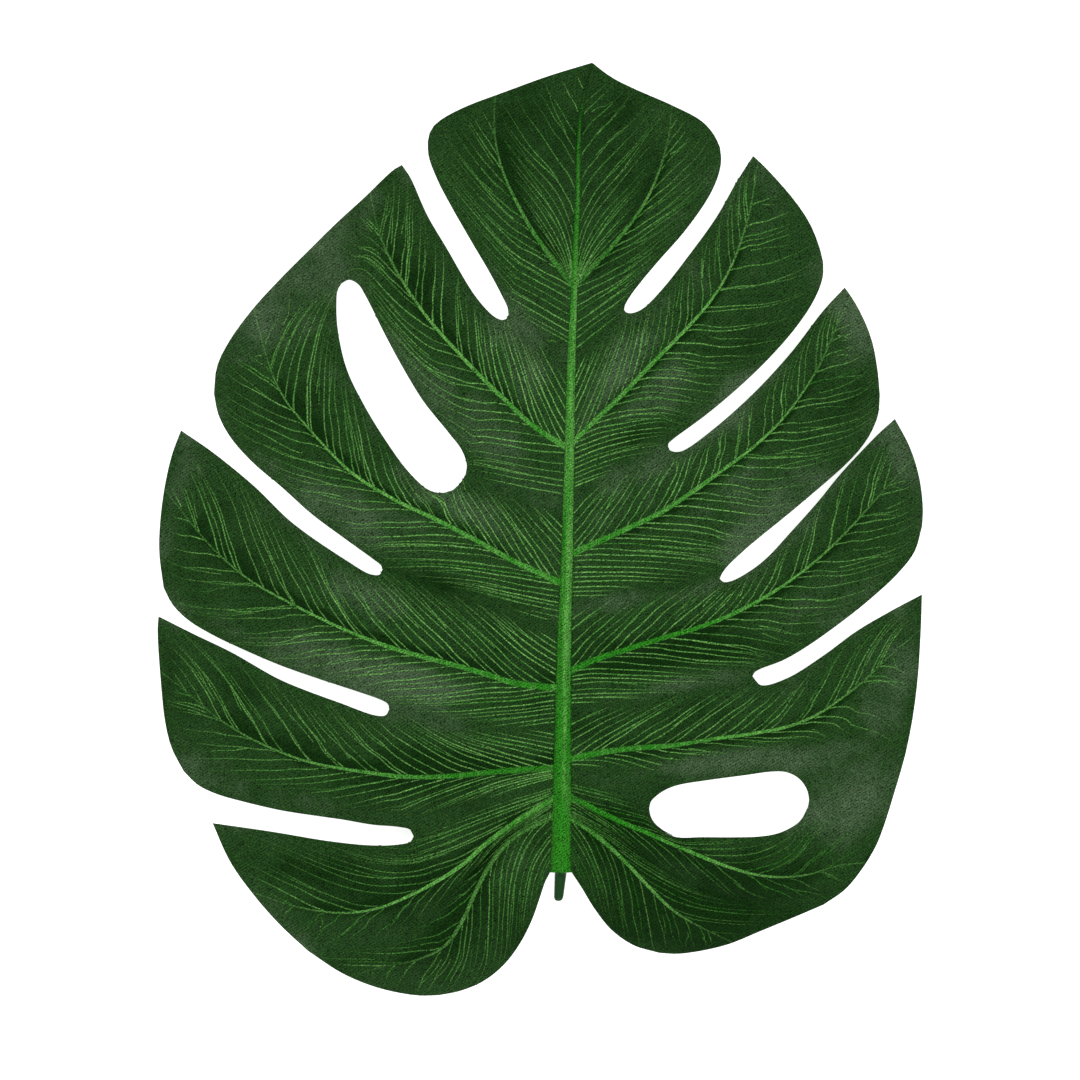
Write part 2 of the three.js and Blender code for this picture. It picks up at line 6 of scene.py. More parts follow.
import bpy
import numpy as np
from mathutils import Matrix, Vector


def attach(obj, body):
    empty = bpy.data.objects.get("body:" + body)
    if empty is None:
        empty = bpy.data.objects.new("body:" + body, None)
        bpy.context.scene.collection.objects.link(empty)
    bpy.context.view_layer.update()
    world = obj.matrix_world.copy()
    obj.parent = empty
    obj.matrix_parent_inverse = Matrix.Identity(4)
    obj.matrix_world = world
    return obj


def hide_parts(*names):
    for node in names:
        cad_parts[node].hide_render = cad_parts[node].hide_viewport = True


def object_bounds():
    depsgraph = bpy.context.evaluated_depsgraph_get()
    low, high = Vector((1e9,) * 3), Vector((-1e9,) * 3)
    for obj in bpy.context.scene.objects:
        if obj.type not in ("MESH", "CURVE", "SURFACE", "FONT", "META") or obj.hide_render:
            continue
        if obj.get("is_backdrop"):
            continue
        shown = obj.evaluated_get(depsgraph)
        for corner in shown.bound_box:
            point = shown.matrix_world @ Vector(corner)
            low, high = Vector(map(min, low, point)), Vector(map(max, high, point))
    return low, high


bl_info = {
    "name": "Artificial Monstera Leaf",
    "version": (1, 0, 0),
    "blender": (4, 5, 0),
    "location": "3D View > Sidebar > Monstera Leaf",
    "description": "Builds a printed satin monstera leaf on its moulded rib frame",
    "category": "Add Mesh",
}

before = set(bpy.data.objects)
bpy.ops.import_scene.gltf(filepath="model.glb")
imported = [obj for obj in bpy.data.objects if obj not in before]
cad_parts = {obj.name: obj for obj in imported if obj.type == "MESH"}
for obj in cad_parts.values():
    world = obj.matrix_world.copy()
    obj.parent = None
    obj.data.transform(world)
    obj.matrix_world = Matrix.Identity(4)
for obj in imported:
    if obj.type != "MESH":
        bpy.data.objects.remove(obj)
CAD_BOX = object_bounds()

# All sizes below are in millimetres, in the frame of the solids: +Y from the base to the apex, +Z up.
MM = 0.001

# The cloth's relief: a level core over the spine, a bulge beside it, and a droop past both ends.
CLOTH = 0.6
HALF_WIDTH = {"left": 152, "right": 134}
CORE_HEIGHT = {"base": 5.2, "apex": 3.0, "from": -80, "to": 110}
BASE_DROOP = {"start": -100, "reach": 85}
APEX_DROOP = {"start": 70, "reach": 110}
BULGE = 3.6
LOBE_ARCH = {"height": 2.4, "rise": 0.3, "loss": 0.4}
MIDRIB_RIDGE = {"base": 2.2, "apex": 0.5}
VEIN_RIDGE = {"height": 1.0, "root": 2.2, "end": 0.8, "rise": 0.12, "widest": 0.3}

# The plastic frame under the cloth: a spine with a flat foot, side ribs, and the tail.
GLUE_GAP = 0.3
SPINE = {"top": 100, "belly": 0.56, "rounded": 2, "rows": 130}
RIB = {
    "reach": 0.68, "root_depth": 2.0, "end_depth": 1.0, "width": 0.45, "rounded": 0.03, "sunk": 0.8,
    "rows": 44,
}
TAIL = {"length": 11, "top_width": 4.5, "end_width": 3.4, "height": 4.2, "lean": 0.9, "rounded": 0.2}

# The midrib's centre line, from the base to the apex, and the half-width of its band at heights up the leaf.
MIDRIB = [
    (7.6, -128.5), (8.3, -80), (9, -38), (10, -11), (11.7, 68), (12.9, 97), (14, 126), (15, 155),
    (19.2, 174.9),
]
MIDRIB_BAND = [(-128.5, 4), (-80, 3.3), (-11, 2.3), (68, 1.6), (97, 1.2), (155, 0.6), (175, 0.4)]

# Each side is a row of lobes from the base to the apex. A lobe has a vein that leaves the midrib at the
# height "from", and a margin from its lower corner to its tip. The gaps lie below each lobe: the first is
# the base edge, and the others start at the midrib and run along a seam to a slit, to a closed window, or
# to the margin. "opens" and "closes" say how many sixteenths of the way out the slit or window begins and
# ends. "high" is the edge of the lobe above the gap, and "low" that of the lobe below it.
LEFT = {
    "side": -1,
    "lobes": [
        # basal
        {
            "from": -107.5,
            "vein": [
                (-10, -115), (-18, -124), (-24, -135), (-29, -146), (-36, -156), (-46, -161), (-60, -164),
                (-72, -167.7),
            ],
            "margin": [(-38, -174.9), (-46, -175), (-60, -172.2), (-74, -166.6), (-87, -158.3)],
        },
        # fifth
        {
            "from": -101,
            "vein": [
                (-10, -110), (-20, -117.3), (-30, -126), (-40, -132.4), (-50, -137.5), (-60, -141.5),
                (-70, -143.4), (-80, -143.2), (-92, -141), (-108, -135.9),
            ],
            "margin": [
                (-87, -158.3), (-97.5, -148.2), (-107.4, -136.9), (-116.1, -124.7), (-122.9, -110.2),
            ],
        },
        # fourth
        {
            "from": -89.5,
            "vein": [
                (-15, -90.5), (-35, -92.3), (-50, -92.4), (-65, -90.8), (-85, -87.4), (-97, -83.5),
                (-110, -77.5), (-122, -70), (-132, -61.5), (-142.6, -53),
            ],
            "margin": [
                (-133.8, -90.9), (-138.4, -82.1), (-140.8, -72.4), (-142.4, -57.4), (-143.7, -37.5),
                (-143.4, -32.8),
            ],
        },
        # third
        {
            "from": -59.5,
            "vein": [
                (-10, -57.5), (-20, -54.3), (-35, -50), (-50, -46), (-65, -41), (-80, -34.5), (-95, -27),
                (-109, -19), (-121, -9), (-130, 1), (-140.9, 15),
            ],
            "margin": [
                (-141.5, -22), (-143, -10), (-143, -2), (-141.5, 12.6), (-138.4, 27.3), (-134.9, 37),
            ],
        },
        # second
        {
            "from": -20,
            "vein": [
                (-10, -12), (-25, -3.7), (-40, 4), (-55, 11.3), (-70, 20.5), (-80, 30), (-88, 39),
                (-95, 47.5), (-100, 57), (-103.5, 68), (-107.5, 82.5),
            ],
            "margin": [
                (-122.4, 50.7), (-121.3, 60.6), (-117, 69.6), (-108.2, 81.7), (-97, 94), (-86, 105.1),
            ],
        },
        # first
        {
            "from": 31,
            "vein": [
                (-3, 38.8), (-12, 47), (-22, 56.5), (-32, 67), (-42, 78.5), (-50, 90), (-56, 100.5),
                (-60.5, 111), (-64, 125.7),
            ],
            "margin": [(-86, 105.1), (-76.8, 114), (-65.7, 124.1), (-55, 134.5), (-51.9, 136.4)],
        },
        # apex
        {
            "from": 92,
            "vein": [
                (7, 97.5), (2, 104), (-3.5, 112), (-8.5, 121), (-13, 130.5), (-16, 140), (-17.3, 150),
                (-17, 162.5),
            ],
            "margin": [
                (-42.3, 145), (-41, 149.8), (-37.4, 153.3), (-28.6, 158), (-14.6, 163.4), (3, 169.9),
                (18.8, 174.9),
            ],
        },
    ],
    "gaps": [
        {
            "from": -128.5,
            "high": [
                (1.7, -132.2), (0.1, -137), (-3.2, -146.4), (-7.7, -155.3), (-13.7, -163.3),
                (-21.4, -169.5), (-30, -173.2), (-38, -174.9),
            ],
        },
        {
            "from": -104.5,
            "seam": [(-12, -114.8), (-28, -131), (-45, -147), (-65, -156.5), (-87, -158.3)],
        },
        {
            "from": -95.5, "opens": 6,
            "seam": [(-15, -101.5), (-47.4, -114.8)],
            "high": [
                (-48.6, -112.4), (-53, -111.3), (-62.8, -110.5), (-74, -108.6), (-82.5, -107.4),
                (-97.3, -105.2), (-112, -101.9), (-121.6, -99.2), (-128.5, -95.9), (-133.8, -90.9),
            ],
            "low": [
                (-48.6, -116.8), (-54, -118), (-64.2, -118.2), (-79.1, -116.7), (-98.9, -113.5),
                (-122.9, -110.2),
            ],
        },
        {
            "from": -75, "opens": 6,
            "seam": [(-28, -74), (-56.5, -67.3)],
            "high": [
                (-57, -65.4), (-59.5, -63.9), (-68.2, -60.8), (-82.4, -56.2), (-96.6, -51.3),
                (-110.4, -45.5), (-124, -39.1), (-132.5, -33.9), (-138.2, -28.2), (-141.5, -22),
            ],
            "low": [
                (-57.9, -69.6), (-61.5, -69.7), (-75.1, -64.9), (-89.2, -59.8), (-98.4, -55.9),
                (-115.9, -46.1), (-129.4, -39.7), (-143.4, -32.8),
            ],
        },
        {
            "from": -38, "opens": 7,
            "seam": [(-30, -23.5), (-59, -15)],
            "high": [
                (-59.6, -13.6), (-62.5, -11.3), (-73.5, -3.4), (-85.5, 5.5), (-96.7, 15.5), (-108.1, 25.2),
                (-116.3, 34.5), (-120.8, 43), (-122.4, 50.7),
            ],
            "low": [
                (-60, -17), (-63.6, -16.9), (-72.3, -11.9), (-92.8, 2.3), (-107.3, 16.1), (-122.8, 28.7),
                (-134.9, 37),
            ],
        },
        {
            "from": 5, "opens": 4, "closes": 15,
            "seam": [(-10, 12.5), (-28, 20.5)],
            "high": [
                (-27.6, 24), (-29.5, 29.5), (-34.4, 36), (-43.8, 47.7), (-51.6, 60.5), (-58.7, 73.7),
                (-65.4, 87.1), (-68.3, 91.6), (-71.6, 93.2), (-74.4, 91.9),
            ],
            "low": [
                (-29.6, 17.8), (-32.6, 14.7), (-37.4, 13.5), (-42.1, 14.8), (-49.4, 21.5), (-58.2, 33.6),
                (-66, 46.4), (-72.5, 59.9), (-75.8, 74.5), (-76.3, 84.5), (-75.9, 89.2), (-74.4, 91.9),
            ],
            "rejoin": [(-80, 98.5), (-86, 105.1)],
        },
        {
            "from": 62, "opens": 5,
            "seam": [(0, 70), (-12, 80.2)],
            "high": [
                (-12.4, 83), (-14.3, 87), (-19, 95.9), (-26.6, 108.8), (-34, 121.8), (-38.6, 130.7),
                (-41.9, 139.5), (-42.3, 145),
            ],
            "low": [
                (-12.8, 78.7), (-14.4, 78.2), (-16.2, 78.8), (-18.5, 80.4), (-24.7, 87.6), (-34.9, 104.7),
                (-42.5, 117.7), (-48.6, 131.4), (-51.9, 136.4),
            ],
        },
    ],
}

RIGHT = {
    "side": 1,
    "lobes": [
        # basal
        {
            "from": -108,
            "vein": [
                (17, -111.6), (25, -117.8), (32, -124.5), (40, -133), (48, -141), (55, -146), (72, -154.9),
            ],
            "margin": [
                (44.3, -158.7), (52, -159), (68.9, -155.8), (82.9, -150.2), (96, -144.9), (106, -140.8),
            ],
        },
        # fifth
        {
            "from": -100.5,
            "vein": [
                (20, -104.7), (30, -109.2), (42, -114.3), (55, -120), (68, -125.4), (80, -129),
                (90, -130.1), (101, -129), (111, -126), (122, -124.9),
            ],
            "margin": [
                (106, -140.8), (114.1, -135), (120.4, -127.3), (125.6, -118.8), (128.5, -111.8),
                (130.9, -104.8),
            ],
        },
        # fourth
        {
            "from": -86,
            "vein": [
                (22, -83.6), (35, -81.8), (50, -80.7), (65, -78.3), (80, -76.3), (93, -73.6), (104, -69),
                (113, -63), (121, -57), (131, -47.5), (142.4, -37.5),
            ],
            "margin": [
                (130.9, -104.8), (133.8, -95.2), (136.6, -85.6), (139.6, -70.9), (141.5, -56),
                (142.5, -41), (143.2, -24.6),
            ],
        },
        # third
        {
            "from": -53,
            "vein": [
                (20, -49), (32, -45), (45, -40.8), (58, -37), (70, -32.5), (82, -26.4), (93, -19.5),
                (104, -11), (114, -1.5), (125.5, 11), (139.8, 27),
            ],
            "margin": [(143.3, 1.2), (143.5, 8), (142, 19.5), (138.5, 30.5), (132.9, 41.3)],
        },
        # second
        {
            "from": -9,
            "vein": [
                (20, -5.5), (32, 0), (44, 5.7), (56, 13.3), (68, 22), (80, 31), (90, 40.5), (98, 51),
                (105, 62.5), (110, 74), (116.3, 87.3),
            ],
            "margin": [(127.2, 50.2), (126.2, 60.1), (123.8, 71.5), (119, 82.5), (113.9, 90.5)],
        },
        # first
        {
            "from": 33,
            "vein": [
                (20, 40.2), (30, 49.6), (40, 60), (50, 70), (59, 79.5), (66, 88.5), (71.5, 98.5),
                (75.5, 109), (78.5, 120), (81.5, 137.7),
            ],
            "margin": [
                (105.8, 100), (104.6, 104.9), (100.9, 114.2), (95.4, 122.5), (85.5, 133.9), (79.6, 139.8),
            ],
        },
        # apex
        {
            "from": 92,
            "vein": [
                (18, 96.2), (24, 102.5), (31, 110.5), (37, 118.5), (42, 127.5), (46, 138.5), (48.3, 149),
                (49.3, 158.8),
            ],
            "margin": [
                (67.3, 142.9), (65.2, 147.4), (60.5, 152.7), (49.2, 158.8), (35.5, 164.9), (26.6, 169.5),
                (19.6, 174.9),
            ],
        },
    ],
    "gaps": [
        {
            "from": -128.5,
            "high": [(15.1, -133.8), (20.3, -142.3), (26.6, -150.1), (34.7, -155.8), (44.3, -158.7)],
        },
        {
            "from": -105,
            "seam": [(24, -111.7), (42, -124.5), (65, -136.5), (88, -140.5), (106, -140.8)],
        },
        {
            "from": -94, "opens": 3, "closes": 13,
            "seam": [(26, -98.5), (40.6, -104.6)],
            "high": [
                (41.2, -102), (43.2, -99.8), (46.6, -97.5), (51.3, -95.7), (61.3, -94), (76.5, -92),
                (86.6, -90.7), (91.7, -90.9), (96.2, -93), (99.4, -97), (100.4, -101.2), (100, -104),
            ],
            "low": [
                (41.3, -107.6), (43.5, -110.9), (46.8, -113.4), (50.7, -115.1), (60.8, -115.1),
                (71, -115.2), (81.2, -115), (88, -114), (93, -112), (97.2, -109), (100, -104),
            ],
            "rejoin": [(115, -103), (130.9, -104.8)],
        },
        {
            "from": -68, "opens": 7,
            "seam": [(45, -62.5), (79.2, -55)],
            "high": [
                (80, -53.6), (82, -52.4), (90.7, -49.1), (99.3, -44.2), (111.6, -35.6), (123.4, -26.4),
                (134.5, -16.2), (140.5, -8.3), (143.3, 1.2),
            ],
            "low": [
                (80.4, -56.6), (82, -58.2), (84.5, -58.4), (93.6, -55.1), (106.2, -47.1), (118.3, -38.3),
                (131.3, -30.8), (143.2, -24.6),
            ],
        },
        {
            "from": -30, "opens": 6,
            "seam": [(38, -24.5), (67, -18.6)],
            "high": [
                (67.8, -16.7), (70, -13.8), (77.5, -6.8), (93.3, 6.1), (109, 19.4), (114.3, 24.2),
                (119.5, 29.7), (123.7, 35.8), (126.6, 43), (127.2, 50.2),
            ],
            "low": [
                (68.4, -19.8), (70.8, -19.6), (75.4, -17.5), (83.7, -11.6), (94.2, -0.5), (104.4, 10.9),
                (110.6, 18.6), (114.9, 23.5), (120.1, 29), (127.1, 36.1), (132.9, 41.3),
            ],
        },
        {
            "from": 12, "opens": 5,
            "seam": [(28, 21.5), (47.7, 31)],
            "high": [
                (47.9, 32), (49.5, 33.5), (61.6, 42.4), (73.1, 52), (84, 62.3), (94, 73.4), (101, 83.2),
                (104.5, 90.3), (105.8, 95.1), (105.8, 100),
            ],
            "low": [
                (48.2, 29.6), (50.5, 28.8), (53.5, 29.4), (65.4, 38), (80.3, 51.4), (93.8, 66.1),
                (106, 81.9), (113.9, 90.5),
            ],
        },
        {
            "from": 62, "opens": 4,
            "seam": [(21, 71), (31.3, 82)],
            "high": [
                (31.6, 83.6), (33.5, 87), (37.9, 92.8), (44.3, 100.4), (54.2, 111.7), (62.8, 124),
                (66.5, 132), (67.7, 137.9), (67.3, 142.9),
            ],
            "low": [
                (32.2, 81), (34.5, 80.8), (38.3, 82.5), (45, 89.1), (57.4, 104.9), (66, 117), (73.4, 130),
                (79.6, 139.8),
            ],
        },
    ],
}

# Mesh fineness: rows out along a lobe (a multiple of 16), columns across half a lobe, of which the first few
# lie on the vein's ridge, and columns across half the midrib band.
ROWS_OUT = 96
COLUMNS_ACROSS = 16
COLUMNS_ON_RIDGE = 6
BAND_COLUMNS = 10
SAMPLES_PER_POINT = 24
SIXTEENTHS = 16

# The height of the cloth's slow waves, and the middle of the view.
WAVE_HEIGHT = 0.35
VIEW_MIDDLE = (-0.19, -4.13)

# The stage: how far the paper reaches and how far it lies under the leaf, and the soft boxes in metres.
PAPER = {"reach": 3000.0, "drop": 0.2}
SOFT_BOXES = ((-0.9, 0.6, 1.1), (0.9, 0.5, 1.1), (0.0, -1.1, 1.0))
SOFT_BOX_SIZE = 0.9

# Soft patches of painted shade and painted sheen: (x, y, half-length, half-width, turn in degrees, strength).
# Below zero the colour darkens as painted shade, above zero the satin turns greyer as painted sheen.
PAINTED_LIGHT_PATCHES = [
    (26, -112, 28, 20, 0, -0.70), (4, -60, 34, 42, 0, -0.25), (16, -40, 40, 14, 10, -0.30),
    (14, 150, 50, 26, 0, -0.70), (80, -138, 55, 18, 8, -0.75), (50, -148, 34, 14, 8, -0.90),
    (-45, -150, 55, 20, 160, -0.50), (-95, 46, 22, 14, 130, -0.60), (-50, 97, 26, 13, 120, -0.60),
    (62, -47, 36, 5, 5, -0.90), (37, 36, 15, 4, 15, -1.10), (52, -18, 24, 4, 8, -0.95),
    (-72, -125, 42, 8, 0, -0.40), (-30, -86, 34, 5, 175, -0.80), (-14, -66, 18, 4, 0, -0.60),
    (75, 72, 26, 11, 30, -0.55), (110, 45, 18, 11, 40, -0.60), (-112, -14, 26, 10, 140, -0.50),
    (-112, -66, 32, 14, 150, -0.50), (-48, -18, 22, 5, 165, -0.80), (3, -57, 5, 3, 0, -0.8),
    (3, -87, 5, 3, 0, -0.7), (-125, 0, 18, 14, 100, -0.35), (60, -70, 24, 8, 12, -0.35),
    (20, -70, 14, 10, 10, -0.45), (120, 5, 20, 14, 60, -0.30), (-60, -98, 30, 5, 170, -0.30),
    (-100, 84, 34, 15, 45, 0.65), (-45, 56, 24, 9, 125, 0.45), (-62, 124, 22, 10, 45, 0.40),
    (-137, 14, 28, 6, 75, 0.65), (-72, -50, 36, 8, 165, 0.80), (-66, -26, 18, 9, 160, 0.65),
    (-8, 64, 24, 10, 100, 0.60), (-72, 7, 26, 8, 150, 0.85), (83, 132, 12, 7, 120, 0.50),
    (76, 53, 16, 5, 40, 0.75), (118, 78, 17, 8, 110, 0.95), (136, 30, 15, 8, 110, 0.90),
    (32, 60, 20, 9, 55, 0.75), (35, 20, 18, 7, 25, 0.60), (66, 38, 16, 5, 35, 0.65),
    (32, -26, 28, 7, 15, 0.75), (74, -10, 18, 8, 35, 0.75), (52, -58, 34, 5, 12, 0.60),
    (70, -87, 36, 5, 5, 0.95), (114, -106, 20, 15, 60, 0.65), (130, -60, 22, 10, 70, 0.60),
    (-98, -147, 26, 7, 130, 0.50), (-128, -88, 18, 7, 145, 0.45), (-10, -126, 10, 7, 60, 0.60),
    (-40, -60, 28, 7, 172, 0.70), (-25, 5, 24, 8, 150, 0.70), (-20, 35, 22, 8, 125, 0.45),
    (-10, -98, 14, 5, 165, 0.55), (25, -95, 14, 6, 160, 0.50), (98, -30, 18, 6, 30, 0.35),
    (48, 52, 22, 12, 45, 0.65), (84, 4, 24, 10, 40, 0.60), (64, 16, 22, 8, 30, 0.55),
    (50, 146, 16, 12, 120, 0.55), (-42, 5, 14, 8, 150, 0.35), (-24, -140, 14, 16, 60, -0.35),
    (-36, -96, 30, 9, 170, -0.55), (-45, -72, 22, 8, 165, 0.35), (50, -46, 26, 8, 15, -0.30),
]


def smooth_line(points):
    """Close samples of a centripetal curve through points: each stretch is a cubic whose end slopes come from
    the neighbouring stretches, weighted by the square roots of their lengths."""
    p = np.asarray(points, float)
    p = np.vstack([2 * p[0] - p[1], p, 2 * p[-1] - p[-2]])
    weight = np.sqrt(np.linalg.norm(np.diff(p, axis=0), axis=1))[:, None]
    before, here, after = weight[:-2], weight[1:-1], weight[2:]
    p0, p1, p2, p3 = p[:-3], p[1:-2], p[2:-1], p[3:]
    slope1 = ((p1 - p0) / before - (p2 - p0) / (before + here) + (p2 - p1) / here) * here
    slope2 = ((p2 - p1) / here - (p3 - p1) / (here + after) + (p3 - p2) / after) * here
    w = (np.arange(SAMPLES_PER_POINT) / SAMPLES_PER_POINT)[None, :, None]
    cubic = [p1, slope1, 3 * (p2 - p1) - 2 * slope1 - slope2, 2 * (p1 - p2) + slope1 + slope2]
    samples = sum(part[:, None, :] * w**power for power, part in enumerate(cubic))
    return np.vstack([samples.reshape(-1, 2), p[-2]])


def line_length(line):
    """The running length at each sample of a line."""
    return np.concatenate([[0.0], np.cumsum(np.linalg.norm(np.diff(line, axis=0), axis=1))])


def along(line, share):
    """The points at shares of a line's length."""
    lengths = line_length(line)
    target = np.clip(share, 0, 1) * lengths[-1]
    return np.stack([np.interp(target, lengths, line[:, axis]) for axis in (0, 1)], axis=-1)


def lerp(a, b, share):
    """The straight mix of two values, a at share 0 and b at share 1."""
    return a + (b - a) * share


def ease(value, low, high):
    """A smooth step: 0 below low, 1 above high, and level at both ends of the rise."""
    share = np.clip((value - low) / (high - low), 0, 1)
    return share * share * (3 - 2 * share)


def bell(value):
    """A rounded bump: 1 at zero, half a cosine wave down to 0 at one, and 0 past that."""
    return 0.5 + 0.5 * np.cos(np.pi * np.clip(np.abs(value), 0, 1))


MIDRIB_LINE = smooth_line(MIDRIB)
BASE_Y, APEX_Y = MIDRIB[0][1], MIDRIB[-1][1]


def midrib_x(y):
    """The midrib's centre at heights up the leaf."""
    return np.interp(y, MIDRIB_LINE[:, 1], MIDRIB_LINE[:, 0])


def band_half_width(y):
    """Half the width of the midrib's band at heights up the leaf."""
    return np.interp(y, *np.transpose(MIDRIB_BAND))


def band_edge(side, y):
    """The edge of the midrib's band, on the left for side -1 and on the right for +1."""
    y = np.asarray(y, float)
    return np.stack([midrib_x(y) + side * band_half_width(y), y], axis=-1)


def cloth_height(x, y):
    """The height of the cloth's middle without its veins: a core that falls off as the square of the way out
    to the margin and past both ends, a bulge that is highest half-way out, and slow waves of the cloth."""
    off = x - midrib_x(y)
    out = np.minimum(1, np.abs(off) / np.where(off < 0, HALF_WIDTH["left"], HALF_WIDTH["right"]))
    past_base = np.maximum(0, BASE_DROOP["start"] - y) / BASE_DROOP["reach"]
    past_apex = np.maximum(0, y - APEX_DROOP["start"]) / APEX_DROOP["reach"]
    past = np.minimum(1, past_base + past_apex)
    core = lerp(CORE_HEIGHT["base"], CORE_HEIGHT["apex"], ease(y, CORE_HEIGHT["from"], CORE_HEIGHT["to"]))
    droop = 1 - np.minimum(1, out**2 + past**2)
    bulge = BULGE * 4 * out * (1 - out) * (1 - past**2)
    waves = np.sin(0.11 * x + 0.05 * y) * np.sin(0.06 * x - 0.09 * y + 1) + 0.6 * np.sin(0.17 * y - 0.08 * x)
    return CLOTH / 2 + core * droop + bulge + WAVE_HEIGHT * waves * ease(out, 0.04, 0.3) * (1 - out**4)


def arch_height(u):
    """How far a lobe arches up along its vein."""
    return LOBE_ARCH["height"] * ease(u, 0, LOBE_ARCH["rise"]) * (1 - LOBE_ARCH["loss"] * u * u)


def ridge_height(u):
    """The height of a vein's ridge, which dies out towards the margin."""
    return VEIN_RIDGE["height"] * (1 - u) * ease(u, 0, VEIN_RIDGE["rise"])


def midrib_height(y):
    """The height of the midrib's rounded channel."""
    return lerp(MIDRIB_RIDGE["base"], MIDRIB_RIDGE["apex"], ease(y, BASE_Y, APEX_Y))


def gap_border(side, gap, edge):
    """The border of a lobe along a gap, as a function of the share of the way out: along the seam, then along
    the slit's or window's edge, close-stepped at its round ends, then along the seam again."""
    start = band_edge(side, gap["from"])
    if "seam" not in gap:
        base_edge = smooth_line([start, *gap["high"]])
        return lambda u: along(base_edge, u)
    opens, closes = (gap.get(key, SIXTEENTHS) / SIXTEENTHS for key in ("opens", "closes"))
    seam = smooth_line([start, *gap["seam"]])
    slit = smooth_line([gap["seam"][-1], *gap[edge]]) if edge in gap else None
    rejoin = smooth_line([gap["high"][-1], *gap["rejoin"]]) if "rejoin" in gap else None

    def points(u):
        line = along(seam, u / opens)
        if slit is not None:
            share = np.clip((u - opens) / (closes - opens), 0, 1)
            share = share**1.5 if rejoin is None else (1 - np.cos(np.pi * share)) / 2
            line = np.where((u > opens)[..., None], along(slit, share), line)
        if rejoin is not None:
            line = np.where((u > closes)[..., None], along(rejoin, (u - closes) / (1 - closes)), line)
        return line

    return points


def midrib_border(side, start):
    """The border between the apex lobe and the midrib, from its vein's root to the leaf's tip."""
    edge = band_edge(side, np.linspace(start, APEX_Y, SAMPLES_PER_POINT + 1))
    return lambda u: along(edge, u)


class HalfLobe:
    """Half a lobe: a sheet between its vein and a border, bent at the outer end to follow the margin.

    The point at the share u of the way out and the share t across lies on the straight line from the vein to
    the border, moved by u squared times what that line lacks of the margin at the outer end."""

    def __init__(self, side, rank, high, vein, border, margin):
        self.side, self.rank, self.high = side, rank, high
        self.vein, self.border, self.margin = vein, border, margin
        self.length = line_length(vein)[-1]
        self.from_midrib = high and rank == len(LEFT["lobes"]) - 1
        self.mean_width = self.width(np.linspace(0.1, 0.8, 29)).mean()

    def width(self, u):
        """The distance from the vein to the border."""
        return np.linalg.norm(along(self.vein, u) - self.border(u), axis=-1)

    def ridge_foot(self, u):
        """How far from the vein its ridge ends."""
        foot = lerp(VEIN_RIDGE["root"], VEIN_RIDGE["end"], u)
        return np.minimum(VEIN_RIDGE["widest"] * self.width(u), foot)

    def flat(self, u, t):
        """The point at (u, t) seen from above."""
        across = t[..., None]
        straight = lerp(along(self.vein, u), self.border(u), across)
        end = lerp(self.vein[-1], self.border(np.ones(1))[0], across)
        return straight + (u * u)[..., None] * (along(self.margin, t) - end)

    def surface(self, u, t):
        """The middle of the cloth at (u, t): the broad relief, plus the lobe's arch, which falls off as the
        square of the way across, plus the vein's rounded ridge with a shallow furrow beside it."""
        x, y = np.moveaxis(self.flat(u, t), -1, 0)
        off = t * self.width(u) / np.maximum(self.ridge_foot(u), 1e-6)
        relief = bell(off / 1.25) - 0.3 * bell((off - 1.5) / 0.8) * ease(t, 0, 0.1)
        z = cloth_height(x, y) + arch_height(u) * (1 - t * t) + ridge_height(u) * relief
        return np.stack([x, y, z], axis=-1)

    def columns(self, u):
        """The shares across at the grid's columns: even steps on the ridge, then growing steps to the
        border."""
        width = np.maximum(self.width(u), 1e-6)
        foot = 1.5 * self.ridge_foot(u) / width
        on_ridge = np.arange(COLUMNS_ON_RIDGE) / (COLUMNS_ON_RIDGE - 1)
        beyond = np.linspace(0, 1, COLUMNS_ACROSS - COLUMNS_ON_RIDGE + 2)[1:] ** 1.2
        return np.concatenate([foot[:, None] * on_ridge, lerp(foot[:, None], 1, beyond)], axis=1)


def half_lobes(leaf_side):
    """The low and high halves of each lobe of a side, from the base to the apex. A vein ends on its
    margin."""
    side, gaps = leaf_side["side"], leaf_side["gaps"]
    halves = []
    for rank, lobe in enumerate(leaf_side["lobes"]):
        margin = smooth_line(lobe["margin"])
        split = np.argmin(np.linalg.norm(margin - lobe["vein"][-1], axis=1))
        vein = smooth_line([band_edge(side, lobe["from"]), *lobe["vein"][:-1], margin[split]])
        above = gaps[rank + 1] if rank + 1 < len(gaps) else None
        high_border = gap_border(side, above, "low") if above else midrib_border(side, lobe["from"])
        low_border = gap_border(side, gaps[rank], "high")
        halves.append((
            HalfLobe(side, rank, False, vein, low_border, margin[: split + 1][::-1]),
            HalfLobe(side, rank, True, vein, high_border, margin[split:]),
        ))
    return halves


def painted_light_patches(x, y):
    """The soft patches of painted shade and painted sheen: a sum of bells, each the exponential of minus its
    squared distance.
    """
    depth = np.zeros_like(x)
    for px, py, long, wide, turn, strength in PAINTED_LIGHT_PATCHES:
        c, s = math.cos(math.radians(turn)), math.sin(math.radians(turn))
        dx, dy = x - px, y - py
        depth += strength * np.exp(-(((c * dx + s * dy) / long) ** 2) - ((c * dy - s * dx) / wide) ** 2)
    return depth


